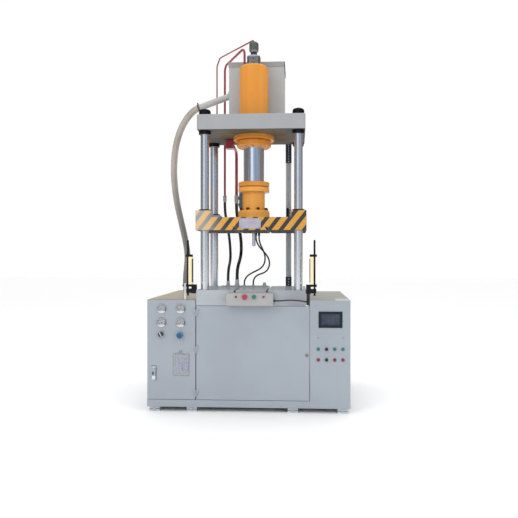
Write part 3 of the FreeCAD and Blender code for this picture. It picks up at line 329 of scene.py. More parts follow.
def centreLine(name, route):
    # the smooth line of a cord, read from the NURBS spline of its route
    curve = bpy.data.curves.new(name + "_line", "CURVE")
    curve.dimensions = "3D"
    curve.resolution_u = 16
    spline = curve.splines.new("NURBS")
    spline.points.add(len(route) - 1)
    for point, place in zip(spline.points, route):
        point.co = (*place, 1)
    spline.order_u = 3
    spline.use_endpoint_u = True
    holder = bpy.data.objects.new(name + "_line", curve)
    scene.collection.objects.link(holder)
    bpy.context.view_layer.update()
    line = bpy.data.meshes.new_from_object(holder)
    points = [vertex.co.copy() for vertex in line.vertices]
    bpy.data.objects.remove(holder)
    bpy.data.meshes.remove(line)
    return points


def evenly(points, step):
    # the same line with its points a step apart
    spans = [(b - a).length for a, b in zip(points, points[1:])]
    total = sum(spans)
    count = max(8, round(total / step))
    result = []
    along, index = 0.0, 0
    for number in range(count + 1):
        target = total * number / count
        while index < len(spans) - 1 and along + spans[index] < target:
            along += spans[index]
            index += 1
        share = (target - along) / spans[index]
        result.append(points[index].lerp(points[index + 1], min(1.0, share)))
    return result


def hoseMesh(name, line, radius, around, rib=0.0, pitch=0.02):
    # a tube swept along a line; rib raises a spiral on its wall
    mesh = bpy.data.meshes.new(name)
    bm = bmesh.new()
    uvs = bm.loops.layers.uv.new("wall")
    side = None
    rings = []
    along = 0.0
    for number, point in enumerate(line):
        before = line[max(0, number - 1)]
        after = line[min(len(line) - 1, number + 1)]
        ahead = (after - before).normalized()
        if side is None:
            side = ahead.orthogonal().normalized()
        side = (side - ahead * side.dot(ahead)).normalized()
        other = ahead.cross(side)
        along += (point - before).length
        ring = []
        for step in range(around):
            angle = 2 * math.pi * step / around
            wave = 0.5 + 0.5 * math.cos(2 * math.pi * along / pitch - angle)
            reach = radius - rib * (1 - wave ** 3)
            outward = side * math.cos(angle) + other * math.sin(angle)
            ring.append(bm.verts.new(point + outward * reach))
        rings.append((ring, along))
    for (low, start), (high, end) in zip(rings, rings[1:]):
        for step in range(around):
            after = (step + 1) % around
            face = bm.faces.new((low[step], low[after], high[after], high[step]))
            corners = ((step, start), (step + 1, start), (step + 1, end), (step, end))
            for loop, (turn, height) in zip(face.loops, corners):
                loop[uvs].uv = (turn / around, height)
            face.smooth = True
    bm.faces.new(list(reversed(rings[0][0])))
    bm.faces.new(rings[-1][0])
    bm.to_mesh(mesh)
    bm.free()
    piece = bpy.data.objects.new(name, mesh)
    scene.collection.objects.link(piece)
    return piece


def hoseFinish():
    # wrapped rubber cover: a fine crossed cloth impression, and paler dust on it
    cloth = {"round": 24, "along": 900}
    cover = Finish("hose_cover", 0.4, Coat_Weight=0.15)
    turn, along, _ = cover.axes(cover.uv)
    weft, warp = turn * cloth["round"], along * cloth["along"]
    wrap = cover.maths("SINE", weft + warp) * cover.maths("SINE", weft - warp)
    dust = cover.ramp(cover.noise(9, 5), 0.5, 0.8)
    cover.set(Base_Color=cover.mixed((0.014, 0.015, 0.015), (0.045, 0.048, 0.047), dust),
              Roughness=0.36 + dust * 0.2, Normal=cover.bump(wrap, 0.12, 0.0003))
    return cover


def clearHoseFinish(pitch):
    # milky hose with its wire spiral showing through, oil stains inside, and a greyer lower half
    greyFrom, greyBelow = 2.5, 1.6
    wall = Finish("clear_hose", 0.3, Coat_Weight=0.5, Coat_Roughness=0.2)
    turn, along, _ = wall.axes(wall.uv)
    spiral = wall.maths("PINGPONG", along / pitch - turn, 0.5) * 2
    wire = wall.ramp(spiral, 0.55, 0.95)
    stain = wall.ramp(wall.noise(5, 4), 0.4, 0.7)
    low = wall.ramp(wall.axes()[2], greyFrom, greyBelow)
    milk = wall.mixed((0.42, 0.375, 0.335), (0.36, 0.305, 0.255), stain)
    grey = wall.mixed(milk, (0.175, 0.163, 0.155), low)
    wireTone = wall.mixed((0.27, 0.25, 0.23), (0.15, 0.14, 0.135), low)
    wall.set(Base_Color=wall.mixed(grey, wireTone, wire * 0.35), Roughness=0.28 + stain * 0.15,
             Normal=wall.bump(wire, 0.2, 0.0008))
    return wall


spiralPitch = 0.022
plainHose = {"step": 0.006, "around": 24, "rib": 0.0, "finish": hoseFinish()}
ribbedHose = {"step": 0.0045, "around": 40, "rib": 0.0011, "finish": clearHoseFinish(spiralPitch)}
for name, facts in cords.items():
    form = ribbedHose if name == "return_hose" else plainHose
    line = evenly(centreLine(name, facts["route"]), form["step"])
    radius = facts["diameter"] / 2
    piece = hoseMesh(name + "_cord", line, radius, form["around"], form["rib"], spiralPitch)
    piece.data.materials.append(form["finish"].material)
    if name.startswith("core_hose"):
        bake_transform(piece)
    else:
        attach(piece, "frame")
    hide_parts(name)
print("cords laid")


# finishes that belong to one place on the press
def cabinetFinish(name, top, roof, seam=None):
    # grey enamel, a warmer top sheet that is duller at the front, and the dark joint of the rear box
    paint = enamel(name, greyLight, greyShade)
    above = paint.within(z=(top - 0.002, None))
    paint.cover(above, roof, rough=0.45, mottle=0.07, scale=3)
    front = paint.ramp(paint.axes()[1], -0.50, -0.645)
    dull = [c * 0.72 for c in roof]
    paint.set(Base_Color=paint.mixed(paint.now("Base Color"), dull, above * front * 0.8))
    if seam:
        paint.cover(paint.within(y=seam, z=(0.12, None)), (0.07, 0.075, 0.08))
    return paint


def rightCabinetFinish():
    # coloured collars and grey lamp lenses stand proud of the front, a painted highlight lies on the
    # top's front corner, and the cable entry is black
    panel = {"x": (0.6, 0.9), "rows": (0.43, 0.53, 0.62), "selectors": (0.69, 0.745),
             "lamps": (0.66, 0.71), "corner": (0.80, -0.45), "seam": (0.0965, 0.1015),
             "entry": ((None, 0.5675), (-0.612, -0.57), (0.98, 1.0295))}
    low, middle, high = panel["rows"]
    left, front = panel["corner"]
    collars = {(middle, high): (0.03, 0.17, 0.145), (low, middle): (0.24, 0.035, 0.06)}
    paint = cabinetFinish("right_cabinet_enamel", cabinetTop, (0.36, 0.345, 0.292), panel["seam"])
    # the pale patch on the front corner of the top is a painted highlight
    corner = paint.within(x=(left, None), y=(None, front), z=(cabinetTop - 0.002, None))
    paint.cover(corner, (0.56, 0.57, 0.57), mottle=0.05)
    for row, colour in collars.items():
        paint.cover(paint.within(panel["x"], proudOfFront, row), colour, 0.3, 0.3)
    paint.cover(paint.within(panel["selectors"], proudOfFront, (low, high)), nearBlack, 0.0, 0.4)
    paint.cover(paint.within(panel["x"], proudOfFront, panel["lamps"]), (0.24, 0.25, 0.26), 0.0, 0.3)
    paint.cover(paint.within(*panel["entry"]), nearBlack)
    return paint


def leftDoorFinish():
    # a paler lock plate with a painted shadow at its right and top, a plated key barrel and a key hole
    plate = {"x": (-0.8915, -0.8455), "z": (0.284, 0.421), "inner": (-0.8505, 0.4165),
             "barrel": ((-0.8765, -0.8605), (None, -0.6505), (0.399, 0.417)),
             "keyHole": ((-0.8715, -0.8655), proudOfFront, (0.34, 0.352))}
    plateShadow = (0.06, 0.065, 0.07)
    (_, right), (_, top) = plate["x"], plate["z"]
    side, cap = plate["inner"]
    paint = enamel("left_door_enamel", greyLight, greyShade)
    paint.cover(paint.within(plate["x"], proudOfFront, plate["z"]), (0.40, 0.44, 0.48), rough=0.3)
    # painted shadow along the plate's right and top edges
    paint.cover(paint.within((side, right), proudOfFront, plate["z"]), plateShadow)
    paint.cover(paint.within(plate["x"], proudOfFront, (cap, top)), plateShadow)
    paint.cover(paint.within(*plate["barrel"]), plated, 0.95, 0.25)
    paint.cover(paint.within(*plate["keyHole"]), nearBlack)
    return paint


def handleFinish():
    # painted paddle whose pale foot is a painted highlight, and a dark key hole
    paddle = {"foot": (None, 0.328), "keyHole": {"x": (None, -0.8665), "z": (0.340, 0.366)}}
    paint = enamel("handle_enamel", (0.315, 0.35, 0.39), (0.29, 0.32, 0.36), 0.4, coat=0.05)
    # the pale foot of the paddle is a painted highlight
    paint.cover(paint.within(z=paddle["foot"]), (0.70, 0.71, 0.72), 0.1, 0.3)
    paint.cover(paint.within(**paddle["keyHole"]), (0.05, 0.05, 0.055), 0.0, 0.5)
    return paint


def pressureKnobFinish():
    # black grip with a painted highlight as a pale band across its cap
    knob = {"x": -0.801, "z": 0.712, "cap": -0.655, "halfWidth": 0.0045, "lean": (0.88, 0.48)}
    grip = moulded("knob_plastic", (0.018, 0.019, 0.022), (0.035, 0.036, 0.04), 0.35)
    x, y, z = grip.axes()
    across = (x - knob["x"]) * knob["lean"][0] + (z - knob["z"]) * knob["lean"][1]
    paintedHighlight = (grip.maths("ABSOLUTE", across) < knob["halfWidth"]) * (y < knob["cap"])
    # the pale band across the cap is a painted highlight
    grip.cover(paintedHighlight, (0.55, 0.56, 0.58), 0.3, 0.4)
    return grip


def bedFinish():
    # machined and painted plate, darker towards the right end of its front
    brightUpTo, dullFrom = 0.22, 0.46
    paint = enamel("bed_enamel", (0.38, 0.415, 0.44), (0.34, 0.375, 0.40))
    x, y, _ = paint.axes()
    dull = paint.ramp(x, brightUpTo, dullFrom) * (y < frontFace)
    paint.set(Base_Color=paint.mixed(paint.now("Base Color"), (0.26, 0.275, 0.31), dull * 0.9))
    return paint


def blueKnobFinish():
    # darker cap inside a bright blue rim
    grip = moulded("blue_plastic", (0.012, 0.14, 0.33), (0.02, 0.19, 0.40), 0.28, 700, 0.08, 0.3)
    knob = {"x": -0.6255, "z": 0.703, "rim": 0.023, "cap": 0.019}
    x, _, z = grip.axes()
    across, rise = x - knob["x"], z - knob["z"]
    reach = grip.maths("SQRT", across * across + rise * rise)
    grip.cover(grip.ramp(reach, knob["rim"], knob["cap"]), (0.008, 0.062, 0.155), 0.0, 0.3)
    return grip


def crossheadFinish():
    # the underside of the beam is painted darker as painted shade, brownish round the cylinder
    beam = {"underside": 2.5965, "cylinderY": -0.279, "brown": (0.46, 0.28)}
    paint = enamel("beam_enamel", (0.325, 0.342, 0.352), (0.30, 0.315, 0.325))
    shadedUnder = paint.within(z=(None, beam["underside"]))
    x, y, _ = paint.axes()
    across, depth = x - cylinderX, y - beam["cylinderY"]
    reach = paint.maths("SQRT", across * across + depth * depth)
    # painted shade: the underside is darkened, and dull with no gloss
    paint.cover(shadedUnder, (0.137, 0.133, 0.122), rough=0.9, mottle=0.3, scale=4)
    brown = shadedUnder * paint.ramp(reach, *beam["brown"])
    paint.cover(brown, (0.15, 0.107, 0.055), mottle=0.4, scale=4)
    return paint


def lidFinish():
    # a duller lid with a dark strip at its right end
    strip = (0.319, None)
    paint = enamel("lid_enamel", (0.30, 0.303, 0.293), (0.27, 0.273, 0.263))
    paint.cover(paint.within(x=strip), (0.045, 0.045, 0.045), rough=0.65)
    return paint


def fittingFinish():
    # plated unions, and dark band clamps round the large hose
    clamps = (None, -0.5)
    union = metal("fitting_metal", (0.66, 0.65, 0.62), (0.48, 0.48, 0.46), 0.28, (1, 1, 3), 220, 0.15)
    union.cover(union.within(x=clamps), (0.12, 0.12, 0.115), 0.7, 0.4)
    return union


def stripeFinish():
    # yellow and black diagonals on the front face, paler and greyer towards the left end as a painted
    # reflection, and dark below as painted shade on the underside
    stripe = {"pitch": 0.107, "lean": 0.78, "x": 0.4205, "z": 1.755, "share": 0.57, "blur": 0.008,
              "glare": (-0.46, -0.18), "shadeBelow": 1.6695}
    paint = enamel("slider_enamel", greyLight, greyShade, coat=0.1)
    x, y, z = paint.axes()
    across = (x - stripe["x"] - (z - stripe["z"]) * stripe["lean"]) / stripe["pitch"]
    off = paint.maths("ABSOLUTE", paint.maths("FRACT", across + 100.5) - 0.5)
    edge = stripe["share"] / 2
    yellow = paint.ramp(off, edge + stripe["blur"], edge - stripe["blur"])
    worn = paint.ramp(paint.noise(60, 5), 0.62, 0.72)
    drift = paint.ramp(paint.noise(3, 3), 0.3, 0.7)
    # a painted reflection makes both colours paler and greyer towards the left end
    unglared = paint.ramp(x, *stripe["glare"])
    warm = paint.mixed((0.60, 0.295, 0.04), (0.55, 0.26, 0.03), drift)
    pale = paint.mixed((0.66, 0.46, 0.24), (0.63, 0.42, 0.20), drift)
    black = paint.mixed((0.020, 0.017, 0.013), (0.044, 0.038, 0.031), paint.noise(8, 4))
    glaredBlack = paint.mixed((0.33, 0.34, 0.34), (0.27, 0.28, 0.28), drift)
    dark = paint.mixed(glaredBlack, black, unglared)
    light = paint.mixed(pale, warm, unglared)
    bands = paint.mixed(dark, light, yellow * (1 - worn * 0.25))
    paint.set(Base_Color=paint.mixed(paint.now("Base Color"), bands, y < frontFace))
    # painted shade on the slider's underside
    paint.cover(z < stripe["shadeBelow"], (0.035, 0.030, 0.026), rough=0.95)
    return paint


def scaleFinish():
    # dark strip with pale index dots at both ends of the long bar
    scale = {"x": 0.3605, "halfDot": 0.006, "pitch": 0.014, "front": 0.123, "ends": (1.215, 2.405)}
    low, high = scale["ends"]
    bar = metal("scale_bar_metal", (0.56, 0.575, 0.585), (0.46, 0.475, 0.485), 0.5, (1, 1, 8), 60)
    bar.set(Metallic=0.5)
    x, y, z = bar.axes()
    column = bar.maths("PINGPONG", z, scale["pitch"]) / scale["pitch"]
    centre = bar.maths("ABSOLUTE", x - scale["x"]) < scale["halfDot"]
    dots = (column > 0.55) * centre
    front = (y < scale["front"]) * ((z > high) + (z < low))
    bar.cover(front, (0.025, 0.03, 0.055), 0.0, 0.5)
    bar.cover(front * dots, (0.5, 0.52, 0.56), 0.0, 0.4)
    return bar


def gaugeFinish():
    # dials with a grey field and ticks, inside grey bezels; a painted reflection makes the lower part of
    # dial and bezel white, and painted shade darkens the right of each bezel; the group's middle is at x
    # and z, each dial across and up from it
    group = {"x": -0.709, "z": 0.8845, "across": 0.0885, "up": 0.0635}
    dial = {"radius": 0.0358, "ring": (0.0285, 0.0335), "tick": 5.4, "low": -0.022,
            "depth": (-0.6488, -0.6475), "needle": -0.6495, "shadedSide": (0.028, -0.024, 0.012)}
    right, foot, top = dial["shadedSide"]
    face, back = dial["depth"]
    gauge = metal("gauge_metal", (0.70, 0.70, 0.69), (0.52, 0.52, 0.51), 0.22, (1, 1, 1), 200, 0.1)
    x, y, z = gauge.axes()
    across = gauge.maths("ABSOLUTE", x - group["x"]) - group["across"]
    up = gauge.maths("ABSOLUTE", z - group["z"]) - group["up"]
    side = gauge.chosen(across * -1, across, x > group["x"])
    rise = gauge.chosen(up * -1, up, z > group["z"])
    reach = gauge.maths("SQRT", side * side + rise * rise)
    turn = gauge.maths("ARCTAN2", rise, side) / math.radians(dial["tick"])
    tick = gauge.maths("PINGPONG", turn, 0.5)
    onDial = reach < dial["radius"]
    inside = onDial * (y < back) * (y > face)
    gauge.cover(reach < 0.05, (0.31, 0.315, 0.335), 0.15, 0.42, 0.05)
    # the white lower part of dial and bezel is a painted reflection
    gauge.cover(rise < dial["low"], (0.80, 0.80, 0.82), 0.1, 0.4, 0.05)
    # painted shade at the right side of each bezel
    gauge.cover((side > right) * (rise < top) * (rise > foot), (0.12, 0.12, 0.13), 0.3, 0.4)
    gauge.cover(inside * (rise > dial["low"]), (0.31, 0.30, 0.325), 0.0, 0.5, 0.05)
    ring = (reach > dial["ring"][0]) * (reach < dial["ring"][1])
    gauge.cover(inside * ring * (tick < 0.13), (0.03, 0.03, 0.035), 0.0, 0.5)
    gauge.cover(onDial * (y < dial["needle"]), (0.04, 0.035, 0.04), 0.0, 0.4)
    return gauge


def controlBoxFinish():
    # plated collars, cover screws and a black cable gland on a grey box
    proud, gland = (None, -0.7415), (0.2362, None)
    paint = enamel("control_box_enamel", (0.368, 0.362, 0.362), (0.338, 0.332, 0.332))
    paint.cover(paint.within(y=proud), plated, 0.95, 0.24)
    paint.cover(paint.within(x=gland), nearBlack)
    return paint


def valveFinish():
    # cast body with a grey-green head, a black shoulder, and a pale strip over a row of dark ports
    valve = {"head": (3.44, None), "shoulder": (3.405, 3.425), "front": (None, -0.31),
             "strip": (3.372, 3.388), "row": ((0.004, 0.049), (3.342, 3.356)), "port": (0.0125, 0.006)}
    halfPitch, halfPort = valve["port"]
    across, height = valve["row"]
    cast = metal("valve_metal", (0.34, 0.35, 0.33), (0.22, 0.23, 0.22), 0.4, (1, 1, 1), 60, 0.3)
    cast.cover(cast.within(z=valve["head"]), (0.10, 0.115, 0.105), 0.3, 0.4)
    cast.cover(cast.within(z=valve["shoulder"]), (0.02, 0.021, 0.02), 0.2, 0.5)
    cast.cover(cast.within(y=valve["front"], z=valve["strip"]), (0.42, 0.40, 0.46), 0.1, 0.4)
    ports = cast.maths("PINGPONG", cast.axes()[0] - cylinderX, halfPitch) < halfPort
    cast.cover(ports * cast.within(across, valve["front"], height), nearBlack, 0.2, 0.5)
    return cast


def coreCylinderFinish():
    # yellow body with a dark teal valve block on its left side
    valveBlock = {"x": (None, -0.0805), "y": (-0.312, -0.236), "z": (1.899, 2.045)}
    paint = enamel("core_cylinder_enamel", (0.80, 0.36, 0.06), (0.74, 0.32, 0.045), 0.3, 0.1, 0.3)
    paint.cover(paint.within(**valveBlock), (0.045, 0.075, 0.08), 0.0, 0.45)
    return paint


def footFinish():
    # pads painted paler than the cabinets' grey as painted light, with painted shade in the wedge slot
    # across them
    slot = (0.017, 0.0205)
    # the pale tone stands in for light under the plinth: painted light
    foot = enamel("foot_enamel", (0.50, 0.53, 0.58), (0.44, 0.47, 0.52), 0.5, coat=0.0)
    # the dark band of the wedge slot is painted shade
    foot.cover(foot.within(z=slot), (0.12, 0.125, 0.13), 0.2, 0.7)
    return foot


def postFinish():
    # black posts and clamps, with a bare aluminium rail at the far left
    rail = {"x": (None, -0.572), "z": (1.0295, 1.185)}
    post = metal("post_metal", (0.032, 0.032, 0.036), (0.02, 0.02, 0.022), 0.42, (1, 1, 1), 160, 0.06)
    post.cover(post.within(**rail), (0.70, 0.70, 0.68), 0.95, 0.3)
    return post


def manifoldFinish():
    # a grey bar with silver unions
    unions = (1.129, None)
    bar = enamel("manifold_enamel", (0.38, 0.415, 0.44), (0.34, 0.375, 0.40))
    bar.cover(bar.within(z=unions), (0.62, 0.62, 0.61), 0.95, 0.26)
    return bar


def curtainFinish():
    # cream housings with a dark optical window on the side that faces the other one
    window = {"x": (-0.5165, 0.5695), "z": (1.19, 1.406)}
    cream = moulded("curtain_plastic", (0.80, 0.70, 0.44), (0.72, 0.60, 0.34), 0.35, 700, 0.1, 0.3)
    cream.cover(cream.within(**window), (0.05, 0.006, 0.01), 0.0, 0.12)
    return cream


nodeFinishes = {
    "base_frame": greyEnamel, "bed_stand": greyEnamel,
    "left_cabinet": cabinetFinish("left_cabinet_enamel", cabinetTop, (0.445, 0.37, 0.25)),
    "right_cabinet": rightCabinetFinish(),
    "bed": bedFinish(),
    "bed_manifold": manifoldFinish(), "levelling_feet": footFinish(), "columns": columnChrome,
    "column_nuts": blackSteel, "crosshead": crossheadFinish(),
    "main_cylinder": yellowEnamel, "gland_cover": yellowEnamel, "prefill_valve": valveFinish(),
    "oil_tank": tankEnamel, "tank_lid": lidFinish(), "pilot_pipe": maroonEnamel,
    "pressure_pipe": maroonEnamel, "lower_port_pipe": maroonEnamel, "hose_fittings": fittingFinish(),
    "scale_bar": scaleFinish(), "control_box": controlBoxFinish(), "light_curtains": curtainFinish(),
    "curtain_posts": postFinish(), "touch_screen": screenCase, "pump_motor": motorEnamel,
    "valve_manifold": groundSteel, "slider": stripeFinish(), "guide_bushes": blackSteel,
    "ram": hardChrome, "ram_flange": yellowEnamel, "core_cylinder": coreCylinderFinish(),
    "flange_bolts": boltSteel, "scale_reader": blackSteel, "core_rod": hardChrome,
    "main_door": greyEnamel, "main_door_lock": lockSteel, "left_door": leftDoorFinish(),
    "gauges": gaugeFinish(), "pressure_knob": pressureKnobFinish(), "blue_knob": blueKnobFinish(),
    "door_handle": handleFinish(), "run_button_left": darkRedPlastic, "run_button_right": darkRedPlastic,
    "stop_mushroom": redPlastic, "start_button": greenPlastic, "upper_button_first": greenPlastic,
    "upper_button_third": greenPlastic, "upper_button_fourth": greenPlastic,
    "lower_button_first": darkRedPlastic, "lower_button_third": darkRedPlastic,
    "lower_button_fourth": darkRedPlastic, "upper_selector": blackPlastic,
    "lower_selector": blackPlastic,
}
for name, finish in nodeFinishes.items():
    mesh = nodes[name].data
    mesh.materials.clear()
    mesh.materials.append(finish.material)
print("CAD pieces painted")


# making pieces: what the operators need around them
def clear():
    bpy.ops.object.select_all(action="DESELECT")


def settle(name):
    # the place, turn and scale go into the mesh
    bpy.ops.object.transform_apply(location=True, rotation=True, scale=True)
    piece = bpy.context.object
    piece.name = name
    piece.data.name = name
    return piece


def pick(test):
    # in edit mode, selects the faces whose centre and normal pass the test
    bpy.ops.mesh.select_mode(type="FACE")
    bpy.ops.mesh.select_all(action="DESELECT")
    data = bpy.context.object.data
    mesh = bmesh.from_edit_mesh(data)
    for face in mesh.faces:
        face.select_set(test(face.calc_center_median(), face.normal))
    mesh.select_flush_mode()
    bmesh.update_edit_mesh(data)


def facing(_, normal):
    # true for a face that looks to the front
    return normal.y < -0.9


def sink(test, border, depth, steps=1):
    # insets the faces that pass the test, and presses the middle in (or lifts it, below zero)
    bpy.ops.object.mode_set(mode="EDIT")
    for _ in range(steps):
        pick(test)
        bpy.ops.mesh.inset(thickness=border, depth=0)
        bpy.ops.mesh.inset(thickness=abs(depth) * 0.2, depth=-depth)
    bpy.ops.object.mode_set(mode="OBJECT")


def block(name, low, high):
    clear()
    centre = [(a + b) / 2 for a, b in zip(low, high)]
    bpy.ops.mesh.primitive_cube_add(size=1, location=centre)
    bpy.context.object.scale = [b - a for a, b in zip(low, high)]
    return settle(name)


def disc(name, place, radius, depth, sides=40):
    # a short cylinder that faces the front; place is the middle of its front face
    clear()
    x, y, z = place
    turned = (math.radians(90), 0, 0)
    bpy.ops.mesh.primitive_cylinder_add(vertices=sides, radius=radius, depth=depth,
                                        location=(x, y + depth / 2, z), rotation=turned)
    return settle(name)


def breakEdges(piece, width, segments=2):
    clear()
    piece.select_set(True)
    bpy.context.view_layer.objects.active = piece
    edge = piece.modifiers.new("broken_edges", "BEVEL")
    edge.width = width
    edge.segments = segments
    edge.limit_method = "ANGLE"
    bpy.ops.object.modifier_apply(modifier=edge.name)
    bpy.ops.object.shade_smooth_by_angle(angle=math.radians(35))


def copied(piece, offset):
    # the same piece at another place, with a mesh of its own
    twin = piece.copy()
    twin.data = piece.data.copy()
    scene.collection.objects.link(twin)
    for vertex in twin.data.vertices:
        vertex.co += Vector(offset)
    return twin


def joined(parts, name):
    clear()
    for part in parts:
        part.select_set(True)
    bpy.context.view_layer.objects.active = parts[0]
    bpy.ops.object.join()
    piece = bpy.context.object
    piece.name = name
    piece.data.name = name
    return piece


def fitted(piece, finish, body):
    piece.data.materials.clear()
    piece.data.materials.append(finish.material)
    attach(piece, body)
    return piece


def screwHeads(name, places, radius, proud, finish, body):
    # button-head screws with a hexagon socket; places are the middles of their seats
    first = disc(name, (places[0][0], places[0][1] - proud, places[0][2]), radius, proud, 24)
    sink(facing, radius * 0.42, proud * 0.45)
    breakEdges(first, proud * 0.3, 3)
    parts = [first]
    for place in places[1:]:
        parts.append(copied(first, Vector(place) - Vector(places[0])))
    return fitted(joined(parts, name), finish, body)


# the bare plate on the slider, and a screw on either side of it
def namePlate():
    label = {"low": (-0.081, -0.6478, 1.683), "high": (0.118, -0.646, 1.777), "edge": 0.004,
             "inset": 0.009, "seat": -0.6474}
    plate = block("slider_plate", label["low"], label["high"])
    sink(facing, label["edge"], 0.0005)
    breakEdges(plate, 0.0004)
    paint = enamel("plate_enamel", (0.38, 0.37, 0.44), (0.33, 0.32, 0.39), 0.45, 0.04, 0.0, 9)
    fitted(plate, paint, "slider")
    (left, _, foot), (right, _, top) = label["low"], label["high"]
    inset, seat = label["inset"], label["seat"]
    corners = []
    for x in (left + inset, right - inset):
        for z in (foot + inset, top - inset):
            corners.append((x, seat, z))
    screwHeads("slider_plate_screws", corners, 0.0035, 0.0018, boltSteel, "slider")


namePlate()
screwHeads("slider_front_screws", [(-0.129, -0.646, 1.686), (0.166, -0.646, 1.688)], 0.0055, 0.003,
           blackSteel, "slider")
print("slider plate fitted")


# dial numbers and glasses of the four gauges
def gaugeDials():
    dial = {"x": (-0.7975, -0.6205), "z": (0.948, 0.821), "y": -0.6483, "reach": 0.0222, "size": 0.0085,
            "numbers": (0, 5, 10, 15, 20, 25), "start": 225, "step": 54, "glass": 0.0372,
            "front": -0.6568}
    numbers = []
    for place, number in enumerate(dial["numbers"]):
        turn = math.radians(dial["start"] - dial["step"] * place)
        clear()
        spot = (dial["x"][0] + dial["reach"] * math.cos(turn), dial["y"],
                dial["z"][0] + dial["reach"] * math.sin(turn))
        bpy.ops.object.text_add(location=spot, rotation=(math.radians(90), 0, 0))
        text = bpy.context.object.data
        text.body = str(number)
        text.size = dial["size"]
        text.align_x = "CENTER"
        text.align_y = "CENTER"
        text.extrude = 0.0001
        bpy.ops.object.convert(target="MESH")
        numbers.append(settle("dial_number"))
    digits = joined(numbers, "dial_numbers")
    glass = disc("gauge_glasses", (dial["x"][0], dial["front"], dial["z"][0]), dial["glass"], 0.0012, 48)
    sink(facing, 0.004, -0.0004, 2)
    breakEdges(glass, 0.0003)
    allDigits, allGlass = [digits], [glass]
    for x in dial["x"]:
        for z in dial["z"]:
            offset = (x - dial["x"][0], 0, z - dial["z"][0])
            if any(offset):
                allDigits.append(copied(digits, offset))
                allGlass.append(copied(glass, offset))
    ink = moulded("dial_ink", (0.02, 0.02, 0.022), (0.04, 0.04, 0.045), 0.5)
    fitted(joined(allDigits, "dial_numbers"), ink, "left_door")
    clearGlass = Finish("gauge_glass", 0.06, Coat_Weight=0.6)
    smear = clearGlass.ramp(clearGlass.noise(60, 4), 0.45, 0.75)
    clearGlass.set(Base_Color=clearGlass.mixed((0.8, 0.82, 0.84), (0.6, 0.62, 0.64), smear),
                   Alpha=0.10 + smear * 0.05)
    fitted(joined(allGlass, "gauge_glasses"), clearGlass, "left_door")


gaugeDials()
print("gauge dials made")


# the glass of the touch screen, with a plain page of fields on it, under a dim blue haze that is a
# painted reflection
def touchScreenGlass():
    screen = {"low": (0.6605, -0.6487, 0.796), "high": (0.8455, -0.6473, 0.911), "border": 0.0045,
              "page": {"x": (0.669, 0.837), "z": (0.804, 0.903)},
              "fields": {"x": (0.677, 0.829), "z": (0.812, 0.896)},
              "firstField": (0.672, 0.816), "halfField": (0.0205, 0.0115), "gap": 0.003}
    glass = block("screen_glass", screen["low"], screen["high"])
    sink(facing, screen["border"], 0.0002)
    breakEdges(glass, 0.0004)
    page = Finish("screen_page", 0.3, Specular_IOR_Level=0.25)
    x, _, z = page.axes()
    haze = page.noise(9, 3, (1, 1, 1.6))
    # the dim blue haze over the page is a painted reflection
    reflectedHaze = page.mixed((0.018, 0.025, 0.041), (0.037, 0.047, 0.071), page.ramp(haze, 0.35, 0.65))
    column = page.maths("PINGPONG", x - screen["firstField"][0], screen["halfField"][0]) > screen["gap"]
    row = page.maths("PINGPONG", z - screen["firstField"][1], screen["halfField"][1]) > screen["gap"]
    fields = column * row * page.within(**screen["fields"])
    shown = page.mixed(reflectedHaze, (0.07, 0.085, 0.12), fields * 0.35)
    page.set(Base_Color=page.mixed((0.012, 0.020, 0.030), shown, page.within(**screen["page"])),
             Roughness=0.26 + haze * 0.1)
    fitted(glass, page, "frame")


touchScreenGlass()
print("touch screen made")


